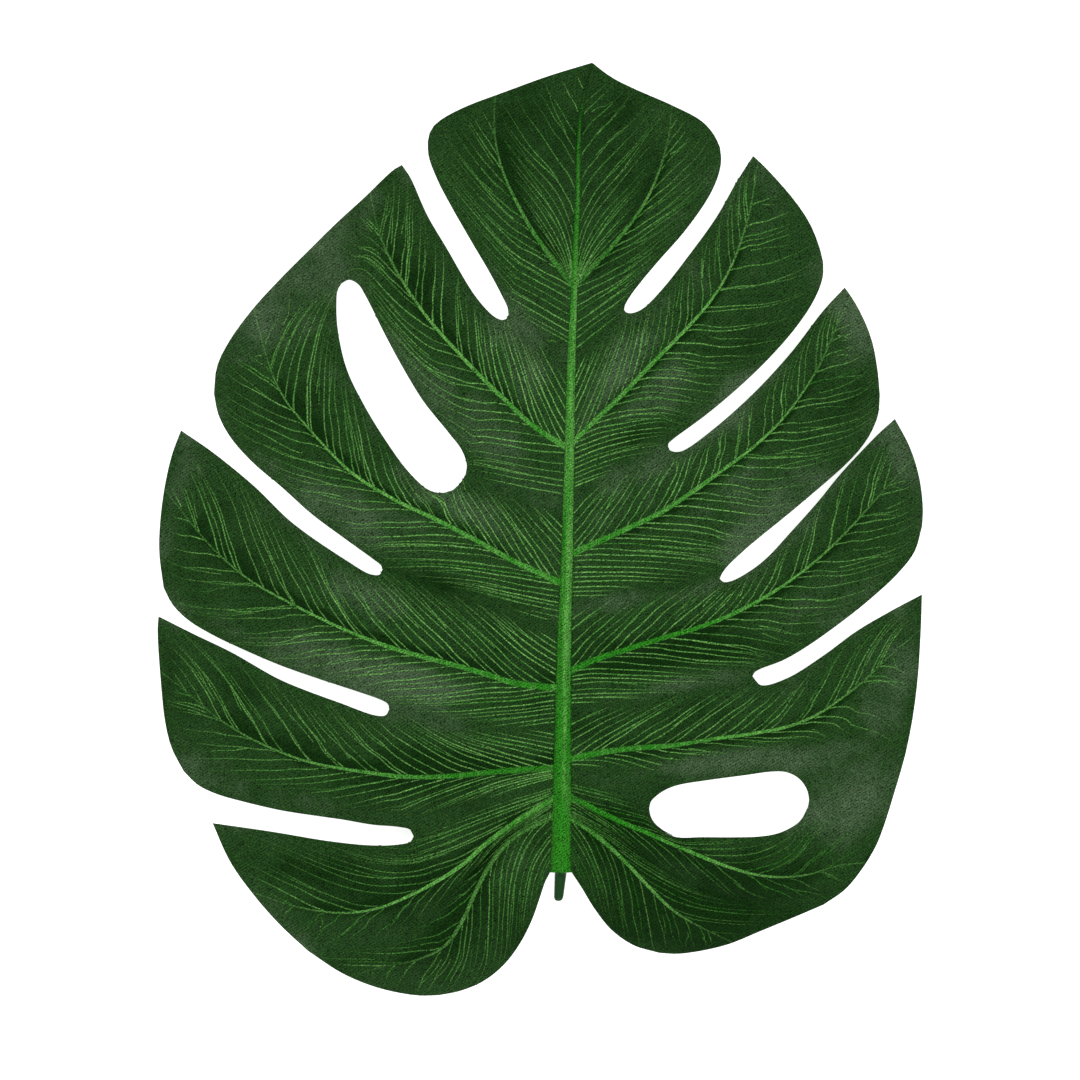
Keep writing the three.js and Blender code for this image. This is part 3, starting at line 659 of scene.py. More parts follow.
# Fine veins: stations along each, and how far they run out along the main vein for each millimetre across, in
# the low and the high half of each lobe from the basal one to the apex, on the left and the right side. A few
# halves, given by side, rank and whether they are high, have shorter veins on their inner part.
VEIN_STATIONS = 22
RUN_OUT = {
    -1: ((2.2, 3.6), (3.6, 4.5), (3.6, 2.1), (2.5, 2.0), (2.5, 1.35), (2.3, 1.45), (2.3, 2.6)),
    1: ((2.0, 3.6), (3.6, 3.2), (3.4, 1.9), (2.3, 2.0), (1.8, 1.7), (1.6, 1.6), (2.3, 2.6)),
}
SHORT_REACH = {(1, 2, False): 0.42, (-1, 2, False): 0.8}
FORKED_SHARE = 0.42
VEIN_SEED = 11
# How unlike one another the fine veins are: where they start, how they lean, how far they reach, where forks
# leave and how far off they go, in spacings, and how they wave.
UNEVEN = {
    "start": 0.2, "lean": (0.97, 1.04), "reach": (0.84, 1.0), "leaves": (0.25, 0.6), "fork": (0.4, 0.6),
    "wave": 0.09, "turns": (1.2, 2.8),
}
SHORTEST_VEIN = 0.1
# A fine vein's ribbon: its feet under the cloth's face, its crest over it, and the range of its strength.
RIBBON = {"sunk": 0.04, "proud": 0.06, "strength": (0.5, 0.9), "fork": 0.85}


def bow(t):
    """How a fine vein gains way as it crosses half a lobe: it leaves the main vein along it, crosses, and
    bends outwards again at the border."""
    return 0.7 * t**0.85 + 0.3 * t * t


BOW_TABLE = bow(np.linspace(0, 1, 400))


def unbow(gain):
    """The share across at which a fine vein has gained this much way."""
    return np.interp(gain, BOW_TABLE, np.linspace(0, 1, 400))


def fine_vein_lines(half, spacing):
    """The fine veins of half a lobe, as (u, t) at stations, with the share of the way along each.

    A fine vein keeps lean * u - bow(t) nearly the same all along, so it starts on the main vein, or on the
    midrib where that value is below zero. Forks follow their vein and then leave it by half a spacing. Beside
    the midrib of the apex lobe they start on the midrib instead, so t runs the other way."""
    rng = np.random.default_rng(VEIN_SEED + 4 * half.rank + 2 * (half.side > 0) + half.high)
    from_midrib = half.from_midrib
    run_out = RUN_OUT[half.side][half.rank][half.high]
    lean = half.length / (run_out * half.mean_width)
    step = lean * spacing * math.hypot(1, run_out) / half.length
    first = np.arange(-0.97, 0.92 * lean, step)
    first = first + rng.uniform(-UNEVEN["start"], UNEVEN["start"], len(first)) * step
    forked = rng.random(len(first)) < FORKED_SHARE
    value = np.concatenate([first, first[forked]])
    leaving = np.concatenate([np.zeros(len(first)), rng.uniform(*UNEVEN["leaves"], forked.sum())])
    shift = rng.choice([-1, 1], len(value)) * rng.uniform(*UNEVEN["fork"], len(value)) * step
    shift = np.where(leaving > 0, shift, 0)
    lean = lean * lerp(0.72, 1, ease(value, -0.7, 0.4)) * rng.uniform(*UNEVEN["lean"], len(value))
    root = np.clip(value / lean, 0, 1)
    beside_print = 0.75 * print_half_width(root) / np.maximum(half.width(root), 1e-6)
    on_main_vein = 0.02 if from_midrib else np.minimum(beside_print, 0.5)
    t0 = np.where(value < 0, unbow(np.maximum(0, -value)), on_main_vein)
    short = SHORT_REACH.get((half.side, half.rank, half.high), 1)
    reach = lerp(short, 1, ease(root, 0.55, 0.68)) * rng.uniform(*UNEVEN["reach"], len(value))
    t1 = np.minimum(reach, unbow(np.clip(0.965 * lean - value, 0, 1)))
    long = t1 - t0 > SHORTEST_VEIN
    parts = (value, leaving, shift, lean, t0, t1)
    value, leaving, shift, lean, t0, t1 = (part[long][:, None] for part in parts)
    way = lerp(leaving, 1, np.linspace(0, 1, VEIN_STATIONS)[None, :])
    t = lerp(t0, t1, way**1.25)
    turns = way * rng.uniform(*UNEVEN["turns"], value.shape) + rng.random(value.shape)
    wave = UNEVEN["wave"] * step * (t1 - t0) * np.sin(2 * np.pi * turns) * ease(way, 0, 0.3)
    gain = value + shift * ease(way, leaving, 1) + wave
    u = np.clip((gain + bow(t)) / lean, 0, 0.985)
    return u, 1 - t if from_midrib else t, way, leaving[:, 0] > 0


# The print of a main vein: half its width, how sharp its edge is, and where it fades. Beside it lie a painted
# shadow line and its halo, which are stronger on the side of the vein that lies away from the light.
PRINT_WIDTH = {"root": 1.5, "end": 0.32, "taper": 0.7}
PRINT_EDGE = 1.7
PRINT_FADE = {"from": 0.45, "to": 0.95, "left": 0.2}
PAINTED_SHADOW_LINE = {"shaded": 0.9, "lit": 0.3, "off": 1.8, "spread": 1.4, "halo": 0.5, "halo_spread": 6}
# Painted sheen: how much greyer each half lobe turns towards its border.
PAINTED_SHEEN_MARGIN = 0.25

# How strongly each main vein is printed, how deep its green is at the root, and how strong the fine veins
# beside it are, from the basal lobe to the apex, on the left and the right side.
VEIN_INK = {-1: (0.45, 0.9, 0.8, 0.9, 0.95, 0.9, 0.6), 1: (0.75, 0.9, 0.85, 0.9, 0.9, 0.9, 0.55)}
VEIN_DEPTH = {-1: (0.5, 0.7, 1.1, 0.95, 0.8, 0.75, 0.8), 1: (0.75, 1.2, 1.0, 1.3, 0.9, 0.75, 0.8)}
FINE_INK = {-1: (0.7, 0.75, 0.95, 1.0, 1.0, 1.0, 0.85), 1: (0.55, 0.6, 0.9, 1.0, 1.0, 0.95, 0.85)}


def print_half_width(u):
    """Half the printed width of a side vein, which tapers towards the margin."""
    return lerp(PRINT_WIDTH["root"], PRINT_WIDTH["end"], u ** PRINT_WIDTH["taper"])


def lobe_looks(half, u, t):
    """What the print does at (u, t) of half a lobe. vein is 1 on the main vein's middle and 0 at its printed
    edge, ink is how strong that print is, tone how deep its green, and the last look holds the painted shade
    and painted sheen patches, with a painted shadow line beside the vein that is stronger on the side away
    from the light, and painted sheen towards the border."""
    x, y = np.moveaxis(half.flat(u, t), -1, 0)
    off = t * half.width(u)
    vein = np.clip(PRINT_EDGE * (1 - off / print_half_width(u)), -1.5, 1)
    ink = lerp(1.0, PRINT_FADE["left"], ease(u, PRINT_FADE["from"], PRINT_FADE["to"]))
    ink = ink * VEIN_INK[half.side][half.rank]
    tone = lerp(VEIN_DEPTH[half.side][half.rank], 0.3, ease(u, 0, 0.8))
    shaded = half.high == (half.side < 0)
    line = np.exp(-(((off - PAINTED_SHADOW_LINE["off"]) / PAINTED_SHADOW_LINE["spread"]) ** 2))
    halo = PAINTED_SHADOW_LINE["halo"] * np.exp(-((off / PAINTED_SHADOW_LINE["halo_spread"]) ** 2))
    shadow = PAINTED_SHADOW_LINE["shaded" if shaded else "lit"] * (line + halo) * ease(u, 0.04, 0.2)
    shadow = shadow * (1 - ease(u, 0.6, 0.95))
    # Painted shade and sheen patches, less the painted shadow line, plus the painted sheen towards the
    # border.
    dye_and_painted_light = painted_light_patches(x, y) - shadow + PAINTED_SHEEN_MARGIN * ease(t, 0.55, 1.0) * ease(u, 0.3, 0.8)
    return {"vein": vein, "ink": ink + 0 * t, "tone": tone + 0 * t, "dye_and_painted_light": dye_and_painted_light}


def blade_grids():
    """The blade's grids of points and their looks: two for each lobe, and the midrib band between the sides,
    whose rows join the roots of the half lobes and then run up beside the apex lobe."""
    grids, edges = [], []
    for leaf_side in (LEFT, RIGHT):
        rows, edge_points, edge_veins = np.arange(ROWS_OUT + 1) / ROWS_OUT, [], []
        for halves in half_lobes(leaf_side):
            for half in halves:
                t = half.columns(rows)
                u = np.broadcast_to(rows[:, None], t.shape)
                points, looks = half.surface(u, t), lobe_looks(half, u, t)
                looks["vein"] = np.where(u == 0, np.maximum(looks["vein"], 0), looks["vein"])
                grids.append((points, looks))
                is_apex = half.rank == len(leaf_side["lobes"]) - 1
                if not half.high:
                    order = slice(None, None, -1)
                    edge_points.append(points[0, order])
                    edge_veins.append(looks["vein"][0, order])
                elif is_apex:
                    looks["vein"][:, -1] = np.maximum(looks["vein"][:, -1], 0)
                    edge_points.append(points[1:, -1])
                    edge_veins.append(looks["vein"][1:, -1])
                else:
                    edge_points.append(points[0, 1:-1])
                    edge_veins.append(looks["vein"][0, 1:-1])
        edges.append((np.concatenate(edge_points), np.concatenate(edge_veins)))
    (left, left_vein), (right, right_vein) = edges
    c = np.linspace(-1, 1, BAND_COLUMNS + 1)[None, :]
    x, y = (lerp(left[:, axis, None], right[:, axis, None], (c + 1) / 2) for axis in (0, 1))
    edge_vein = np.where(c < 0, left_vein[:, None], right_vein[:, None])
    vein = np.maximum(np.minimum(1, 2.6 * (1 - np.abs(c))), edge_vein * np.abs(c))
    ink = lerp(0.88, 0.62, ease(y, 75, 135)) * (1 - ease(y, 140, 172))
    left_tone, right_tone = lerp(1.25, 0.85, ease(y, -120, 10)), lerp(1.0, 0.62, ease(y, -125, -20))
    tone = lerp(left_tone, right_tone, ease(c, -0.35, 0.05)) + 0.35 * ease(y, 80, 110)
    points = np.stack([x, y, cloth_height(x, y) + midrib_height(y) * (1 - c * c)], axis=-1)
    # The band carries the same painted shade and sheen patches.
    grids.append((points, {"vein": vein, "ink": ink, "tone": tone, "dye_and_painted_light": painted_light_patches(x, y)}))
    return grids


def closed_sheet(grids, thickness):
    """A closed sheet from grids: points that meet are welded, both faces are split alike, and every free edge
    gets a wall. Returns the points, the triangles and the looks, with face 1 on the print and 0 on the
    back."""
    points = np.concatenate([grid.reshape(-1, 3) for grid, _ in grids])
    _, keep, place = np.unique(np.round(points[:, :2] * 1000).astype(np.int64), axis=0,
                               return_index=True, return_inverse=True)
    place = place.ravel()
    corners, start = [], 0
    for grid, _ in grids:
        ids = place[start:start + grid.shape[0] * grid.shape[1]].reshape(grid.shape[:2])
        start += ids.size
        a, b, c, d = ids[:-1, :-1].ravel(), ids[1:, :-1].ravel(), ids[1:, 1:].ravel(), ids[:-1, 1:].ravel()
        corners += [np.stack([a, b, c], 1), np.stack([a, c, d], 1)]
    triangles = np.concatenate(corners)
    points = points[keep]
    p, q, r = (points[triangles[:, k], :2] for k in range(3))
    turn = (q[:, 0] - p[:, 0]) * (r[:, 1] - p[:, 1]) - (q[:, 1] - p[:, 1]) * (r[:, 0] - p[:, 0])
    triangles = np.where((turn > 0)[:, None], triangles, triangles[:, ::-1])
    distinct = (triangles != np.roll(triangles, 1, axis=1)).all(axis=1)
    triangles = triangles[distinct]
    count = len(points)
    ends = np.concatenate([triangles[:, [0, 1]], triangles[:, [1, 2]], triangles[:, [2, 0]]])
    key, back = ends[:, 0] * count + ends[:, 1], ends[:, 1] * count + ends[:, 0]
    a, b = ends[~np.isin(back, key)].T
    walls = np.concatenate([np.stack([b, a, a + count], 1), np.stack([b, a + count, b + count], 1)])
    faces = np.concatenate([triangles, triangles[:, ::-1] + count, walls])
    lift = np.array([0, 0, thickness / 2])
    looks = {name: np.concatenate([look[name].ravel() for _, look in grids])[keep] for name in grids[0][1]}
    looks = {name: np.tile(value, 2) for name, value in looks.items()}
    looks["face"] = np.repeat([1.0, 0.0], count)
    return np.concatenate([points + lift, points - lift]), faces, looks


def tube_faces(shape):
    """The triangles of closed tubes on a grid of (tubes, rings, points round a ring), capped at both ends."""
    ids = np.arange(np.prod(shape)).reshape(shape)
    round_ = np.roll(ids, -1, axis=2)
    a, b, c, d = ids[:, :-1], round_[:, :-1], round_[:, 1:], ids[:, 1:]
    sides = [np.stack([a, b, c], -1), np.stack([a, c, d], -1)]
    first, last = ids[:, 0], ids[:, -1]
    fan = np.arange(1, shape[2] - 1)
    hub = [np.broadcast_to(ring[:, :1], ring[:, fan].shape) for ring in (first, last)]
    caps = [np.stack([hub[0], first[:, fan + 1], first[:, fan]], -1),
            np.stack([hub[1], last[:, fan], last[:, fan + 1]], -1)]
    return np.concatenate([part.reshape(-1, 3) for part in sides + caps])


def outward(points, faces):
    """The faces, turned round if they enclose less than nothing."""
    p, q, r = (points[faces[:, k]] for k in range(3))
    volume = np.einsum("ij,ij->", p, np.cross(q, r))
    return faces if volume > 0 else faces[:, ::-1]


def fine_vein_ribbons(half, spacing, width):
    """Closed three-sided ribbons on the cloth's printed face along each fine vein: two feet just under the
    cloth's face and a crest just over it, on a section that narrows towards both ends."""
    u, t, way, is_fork = fine_vein_lines(half, spacing)
    rng = np.random.default_rng(VEIN_SEED + 100 + 4 * half.rank + 2 * (half.side > 0) + half.high)
    step = 1e-3
    centre = half.surface(u, t)
    out = half.surface(np.minimum(u + step, 1), t) - half.surface(np.maximum(u - step, 0), t)
    across = half.surface(u, np.minimum(t + step, 1)) - half.surface(u, np.maximum(t - step, 0))
    normal = np.cross(out, across)
    normal *= np.sign(normal[..., 2:]) / np.maximum(np.linalg.norm(normal, axis=-1, keepdims=True), 1e-12)
    tangent = np.gradient(centre, axis=1)
    sideways = np.cross(tangent, normal)
    sideways /= np.maximum(np.linalg.norm(sideways, axis=-1, keepdims=True), 1e-12)
    strength = rng.uniform(*RIBBON["strength"], (len(u), 1)) * np.where(is_fork, RIBBON["fork"], 1)[:, None]
    taper = ease(way, -0.05, 0.06) * lerp(1.0, 0.55, way)
    half_width = (width * lerp(0.6, 1, strength) * taper)[..., None]
    face = centre + normal * (CLOTH / 2)
    foot = face - normal * RIBBON["sunk"]
    rings = np.stack([
        foot - sideways * half_width, face + normal * RIBBON["proud"], foot + sideways * half_width], axis=2)
    looks = lobe_looks(half, u, t)
    fine_ink = FINE_INK[half.side][half.rank]
    fade = fine_ink * strength * (1 - 0.75 * ease(way, 0.6, 1.0)) * lerp(0.85, 0.65, ease(u, 0.2, 0.9))
    tone = np.clip(rng.normal(1.05 - 0.85 * fine_ink, 0.18, (len(u), 1)), 0, 1) + 0 * u

    def ring_of(value):
        return np.repeat(value[..., None], 3, axis=2)

    looks = {
        "vein": np.broadcast_to(np.array([-0.15, 1.0, -0.15]), rings.shape[:3]),
        "ink": ring_of(np.clip(fade, 0, 1)),
        "tone": ring_of(tone),
        # The ribbons carry the painted shade and sheen of the cloth under them.
        "dye_and_painted_light": ring_of(looks["dye_and_painted_light"]),
        "face": np.ones(rings.shape[:3]),
    }
    points = rings.reshape(-1, 3)
    return points, outward(points, tube_faces(rings.shape[:3])), {k: v.ravel() for k, v in looks.items()}


# A rounded section with a flat foot, as (share of the half-width, share of the height), round from the foot.
SECTION = np.array([
    (0, 0), (0.34, 0), (0.64, 0), (0.85, 0.12), (0.97, 0.3), (1, 0.5), (0.97, 0.7), (0.86, 0.87),
    (0.64, 0.965), (0.34, 0.995), (0, 1), (-0.34, 0.995), (-0.64, 0.965), (-0.86, 0.87), (-0.97, 0.7),
    (-1, 0.5), (-0.97, 0.3), (-0.85, 0.12), (-0.64, 0), (-0.34, 0),
])


def spine_rings():
    """The tail and the spine as rings: the section scaled to the tail's width and height, which round off as
    the cube root of one minus a cube at its end, then scaled to the channel under the midrib."""
    across, up = SECTION[:, 0], SECTION[:, 1]
    turn = np.linspace(0.05, np.pi / 2, 9)
    out = np.concatenate([1 - TAIL["rounded"] * (1 - np.cos(turn)), np.linspace(0.76, 0.1, 8)])[:, None]
    rounding = np.cbrt(1 - np.clip((out - 1) / TAIL["rounded"] + 1, 0, 0.999) ** 3)
    half_width = lerp(TAIL["top_width"], TAIL["end_width"], out) * rounding / 2
    tail = np.stack([
        MIDRIB[0][0] - TAIL["lean"] * out + across * half_width,
        BASE_Y - TAIL["length"] * out + 0 * across,
        up * TAIL["height"] * lerp(0.6, 1, rounding) * lerp(1, 0.94, out),
    ], axis=-1)
    y = np.linspace(BASE_Y, SPINE["top"], SPINE["rows"])[:, None]
    reach = SPINE["belly"] * across
    x = midrib_x(y) + reach * band_half_width(y)
    top = cloth_height(x, y + 0 * x) + midrib_height(y) * (1 - reach**2) - CLOTH / 2 - GLUE_GAP
    end = np.cbrt(1 - np.clip((y - SPINE["top"]) / SPINE["rounded"] + 1, 0, 0.99) ** 3)
    x = midrib_x(y) + (x - midrib_x(y)) * end
    spine = np.stack([x, y + 0 * x, up * top * lerp(0.7, 1, end)], axis=-1)
    return np.concatenate([tail, spine])[None]


def rib_rings(low, high):
    """A side rib as rings from inside the spine outwards: its top lies a glue gap under the vein's ridge, its
    flanks follow both half lobes, and it rounds off at its outer end."""
    across, up = SECTION[:, 0], SECTION[:, 1]
    u = np.concatenate([[0.0], np.linspace(0, RIB["reach"], RIB["rows"])])[:, None] + 0 * across
    rounding = np.cbrt(1 - np.clip((u / RIB["reach"] - 1) / RIB["rounded"] + 1, 0, 0.99) ** 3)
    flank = RIB["width"] * np.abs(across) * rounding
    rings = []
    for half in (low, high):
        t = flank * half.ridge_foot(u) / np.maximum(half.width(u), 1e-6)
        rings.append(half.surface(u, t))
    points = np.where((across >= 0)[None, :, None], rings[1], rings[0])
    crest = low.surface(u, 0 * u)[..., 2]
    depth = lerp(RIB["root_depth"], RIB["end_depth"], u / RIB["reach"]) * lerp(0.6, 1, rounding)
    under = CLOTH / 2 + GLUE_GAP
    points[..., 2] = lerp(crest - depth, points[..., 2], up) - under
    points[0, :, 0] -= low.side * band_half_width(points[0, :, 1]) * RIB["sunk"]
    return points[None]


def make_piece(name, points, faces, looks, material, crease):
    """Puts points in millimetres, triangles and point looks into a new mesh object, which is smooth except
    at edges that turn by more than crease degrees."""
    mesh = bpy.data.meshes.new(name)
    mesh.vertices.add(len(points))
    mesh.vertices.foreach_set("co", (points * MM).astype(np.float32).ravel())
    mesh.loops.add(faces.size)
    mesh.loops.foreach_set("vertex_index", faces.astype(np.int32).ravel())
    mesh.polygons.add(len(faces))
    mesh.polygons.foreach_set("loop_start", np.arange(0, faces.size, 3, dtype=np.int32))
    for look, value in looks.items():
        mesh.attributes.new(look, "FLOAT", "POINT").data.foreach_set("value", value.astype(np.float32))
    mesh.update(calc_edges=True)
    mesh.validate()
    mesh.shade_smooth()
    mesh.set_sharp_from_angle(angle=math.radians(crease))
    mesh.materials.append(material)
    piece = bpy.data.objects.new(name, mesh)
    bpy.context.collection.objects.link(piece)
    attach(piece, "root")
    return piece


def joined(parts):
    """Several (points, faces, looks) as one."""
    offsets = np.cumsum([0] + [len(points) for points, _, _ in parts[:-1]])
    faces = np.concatenate([faces + offset for (_, faces, _), offset in zip(parts, offsets)])
    looks = {name: np.concatenate([look[name] for _, _, look in parts]) for name in parts[0][2]}
    return np.concatenate([points for points, _, _ in parts]), faces, looks


def linear(code):
    """An sRGB hex colour as linear red, green and blue."""
    value = np.array([int(code[k:k + 2], 16) / 255 for k in (0, 2, 4)])
    return tuple(np.where(value <= 0.04045, value / 12.92, ((value + 0.055) / 1.055) ** 2.4).tolist())


def opaque(colour):
    """A colour with full cover."""
    return (*colour, 1.0)


def add_node(tree, kind, inputs=None, **settings):
    """Adds a node with its settings. Each input is a value, or the output that is linked to it."""
    node = tree.nodes.new(kind)
    for name, value in settings.items():
        setattr(node, name, value)
    for name, value in (inputs or {}).items():
        if isinstance(value, bpy.types.NodeSocket):
            tree.links.new(value, node.inputs[name])
        else:
            node.inputs[name].default_value = value
    return node


def new_material(name):
    """A new material with an empty node tree and its output."""
    material = bpy.data.materials.new(name)
    material.use_nodes = True
    material.node_tree.nodes.clear()
    return material, material.node_tree, add_node(material.node_tree, "ShaderNodeOutputMaterial")


def printed_satin(colours, sizes):
    """Polyester satin, woven in a fine twill, dyed deep green, printed with light veins and pressed hot.

    The colour carries a painted grey sheen and painted shade in slow patches, the slanting grain of the
    twill, and ink that breaks up on the threads. The back is the same cloth with the print showing through
    dull and pale."""
    material, tree, output = new_material("printed_polyester_satin")
    place = add_node(tree, "ShaderNodeTexCoord").outputs["Object"]
    look = {name: add_node(tree, "ShaderNodeAttribute", attribute_name=name).outputs["Fac"]
            for name in ("vein", "ink", "tone", "dye_and_painted_light", "face")}
    # The real twill lies about 0.8 mm apart, which is too fine to show, so it is drawn a little coarser.
    turned = add_node(tree, "ShaderNodeMapping", {"Vector": place, "Rotation": (0, 0, math.radians(-32))})
    twill = add_node(tree, "ShaderNodeTexWave", {
        "Vector": turned.outputs[0], "Scale": 0.314 / sizes.twill_spacing, "Distortion": 1.4, "Detail": 2.0,
        "Detail Scale": 2.2, "Detail Roughness": 0.6}, bands_direction="Y")
    thread = add_node(tree, "ShaderNodeTexNoise", {
        "Vector": place, "Scale": 1 / sizes.thread_grain, "Detail": 2.0, "Roughness": 0.7})
    blotch = add_node(tree, "ShaderNodeTexNoise", {
        "Vector": place, "Scale": 1 / sizes.dye_and_sheen_blotch, "Detail": 4.0, "Roughness": 0.55})
    # Painted shade below zero, the plain cloth colour at zero, painted grey sheen above, uneven by the
    # blotches.
    uneven = add_node(tree, "ShaderNodeMath", {
        0: blotch.outputs["Fac"], 1: 1.6, 2: -0.8}, operation="MULTIPLY_ADD")
    dye_and_painted_light = add_node(tree, "ShaderNodeMath", {0: look["dye_and_painted_light"], 1: uneven.outputs[0]}, operation="ADD")
    deep = add_node(tree, "ShaderNodeMapRange", {
        "Value": dye_and_painted_light.outputs[0], "From Min": -1.0, "From Max": 0.0}, interpolation_type="SMOOTHSTEP")
    grey = add_node(tree, "ShaderNodeMapRange", {
        "Value": dye_and_painted_light.outputs[0], "From Min": 0.0, "From Max": 1.0}, interpolation_type="SMOOTHSTEP")
    # A colour mix has its factor at input 0, its colours at inputs 6 and 7, and its result at output 2.
    dyed = add_node(tree, "ShaderNodeMix", {
        0: deep.outputs[0], 6: opaque(colours.painted_shade_green), 7: opaque(colours.dye_and_painted_light)}, data_type="RGBA")
    sheeny = add_node(tree, "ShaderNodeMix", {
        0: grey.outputs[0], 6: dyed.outputs[2], 7: opaque(colours.sheen)}, data_type="RGBA")
    # Ink: its edge breaks up on the threads, and its green runs from light to deep.
    ragged = add_node(tree, "ShaderNodeMath", {
        0: thread.outputs["Fac"], 1: 0.9, 2: -0.45}, operation="MULTIPLY_ADD")
    edge = add_node(tree, "ShaderNodeMath", {0: look["vein"], 1: ragged.outputs[0]}, operation="ADD")
    inked = add_node(tree, "ShaderNodeMapRange", {
        "Value": edge.outputs[0], "From Min": -0.05, "From Max": 0.6}, interpolation_type="SMOOTHSTEP")
    cover = add_node(tree, "ShaderNodeMath", {0: inked.outputs[0], 1: look["ink"]}, operation="MULTIPLY")
    drawn = add_node(tree, "ShaderNodeMapping", {"Vector": place, "Scale": (1, 0.07, 1)})
    streak = add_node(tree, "ShaderNodeTexNoise", {
        "Vector": drawn.outputs[0], "Scale": 1 / sizes.ink_streak, "Detail": 3.0, "Roughness": 0.6})
    streaky = add_node(tree, "ShaderNodeMath", {
        0: streak.outputs["Fac"], 1: 1.6, 2: -0.8}, operation="MULTIPLY_ADD")
    tone = add_node(tree, "ShaderNodeMath", {
        0: look["tone"], 1: streaky.outputs[0]}, operation="ADD", use_clamp=True)
    ink = add_node(tree, "ShaderNodeMix", {
        0: tone.outputs[0], 6: opaque(colours.light_ink), 7: opaque(colours.deep_ink)}, data_type="RGBA")
    printed = add_node(tree, "ShaderNodeMix", {
        0: cover.outputs[0], 6: sheeny.outputs[2], 7: ink.outputs[2]}, data_type="RGBA")
    back = add_node(tree, "ShaderNodeMix", {
        0: 0.7, 6: printed.outputs[2], 7: opaque(colours.back)}, data_type="RGBA")
    cloth = add_node(tree, "ShaderNodeMix", {
        0: look["face"], 6: back.outputs[2], 7: printed.outputs[2]}, data_type="RGBA")
    # Twill and thread grain lighten and darken the colour about its mean.
    weave = add_node(tree, "ShaderNodeMath", {
        0: twill.outputs["Fac"], 1: 0.4, 2: -1.8}, operation="MULTIPLY_ADD")
    grain = add_node(tree, "ShaderNodeMath", {
        0: thread.outputs["Fac"], 1: 5.2, 2: weave.outputs[0]}, operation="MULTIPLY_ADD")
    woven = add_node(tree, "ShaderNodeVectorMath", {
        0: cloth.outputs[2], 1: grain.outputs[0]}, operation="MULTIPLY")
    raised = add_node(tree, "ShaderNodeMath", {
        0: thread.outputs["Fac"], 1: twill.outputs["Fac"]}, operation="ADD")
    bump = add_node(tree, "ShaderNodeBump", {
        "Height": raised.outputs[0], "Strength": 0.35, "Distance": 0.06 * MM})
    gloss = add_node(tree, "ShaderNodeMapRange", {
        "Value": twill.outputs["Fac"], "To Min": 0.58, "To Max": 0.46})
    shader = add_node(tree, "ShaderNodeBsdfPrincipled", {
        "Base Color": woven.outputs[0], "Roughness": gloss.outputs[0], "Normal": bump.outputs[0],
        "Specular IOR Level": 0.05})
    tree.links.new(shader.outputs[0], output.inputs["Surface"])
    return material


def moulded_polyethylene(colours):
    """Polyethylene, injection moulded in dark green: waxy and half gloss, with faint flow marks along the run
    of the plastic and a fine bloom that dulls it in places."""
    material, tree, output = new_material("moulded_polyethylene")
    place = add_node(tree, "ShaderNodeTexCoord").outputs["Object"]
    flow = add_node(tree, "ShaderNodeMapping", {"Vector": place, "Scale": (1, 0.25, 1)})
    marks = add_node(tree, "ShaderNodeTexNoise", {
        "Vector": flow.outputs[0], "Scale": 1 / (2.0 * MM), "Detail": 4.0, "Roughness": 0.6})
    bloom = add_node(tree, "ShaderNodeTexNoise", {"Vector": place, "Scale": 1 / (0.6 * MM), "Detail": 2.0})
    colour = add_node(tree, "ShaderNodeMix", {
        0: marks.outputs["Fac"], 6: opaque(colours.plastic_dark), 7: opaque(colours.plastic_light),
    }, data_type="RGBA")
    gloss = add_node(tree, "ShaderNodeMapRange", {
        "Value": bloom.outputs["Fac"], "To Min": 0.32, "To Max": 0.5})
    bump = add_node(tree, "ShaderNodeBump", {
        "Height": bloom.outputs["Fac"], "Strength": 0.2, "Distance": 0.05 * MM})
    shader = add_node(tree, "ShaderNodeBsdfPrincipled", {
        "Base Color": colour.outputs[2], "Roughness": gloss.outputs[0], "Normal": bump.outputs[0],
        "IOR": 1.51, "Specular IOR Level": 0.15})
    tree.links.new(shader.outputs[0], output.inputs["Surface"])
    return material


def matt_paper(colour, glow):
    """White paper on a light table, which gives an even ground with a faint tooth and hardly any shadow."""
    material, tree, output = new_material("matt_seamless_paper")
    place = add_node(tree, "ShaderNodeTexCoord").outputs["Object"]
    tooth = add_node(tree, "ShaderNodeTexNoise", {"Vector": place, "Scale": 1 / (1.5 * MM), "Detail": 2.0})
    bump = add_node(tree, "ShaderNodeBump", {
        "Height": tooth.outputs["Fac"], "Strength": 0.05, "Distance": 0.05 * MM})
    shader = add_node(tree, "ShaderNodeBsdfPrincipled", {
        "Base Color": opaque(colour), "Roughness": 0.9, "Specular IOR Level": 0.1, "Normal": bump.outputs[0],
        "Emission Color": (1, 1, 1, 1), "Emission Strength": glow})
    tree.links.new(shader.outputs[0], output.inputs["Surface"])
    return material


def colour_property(name, description, code):
    """A colour that a user may change, from its sRGB hex value."""
    return bpy.props.FloatVectorProperty(
        name=name, description=description, subtype="COLOR", size=3, min=0, max=1, default=linear(code))


def length_property(name, description, millimetres):
    """A length that a user may change."""
    return bpy.props.FloatProperty(
        name=name, description=description, unit="LENGTH", subtype="DISTANCE", min=1e-5, precision=5,
        default=millimetres * MM)


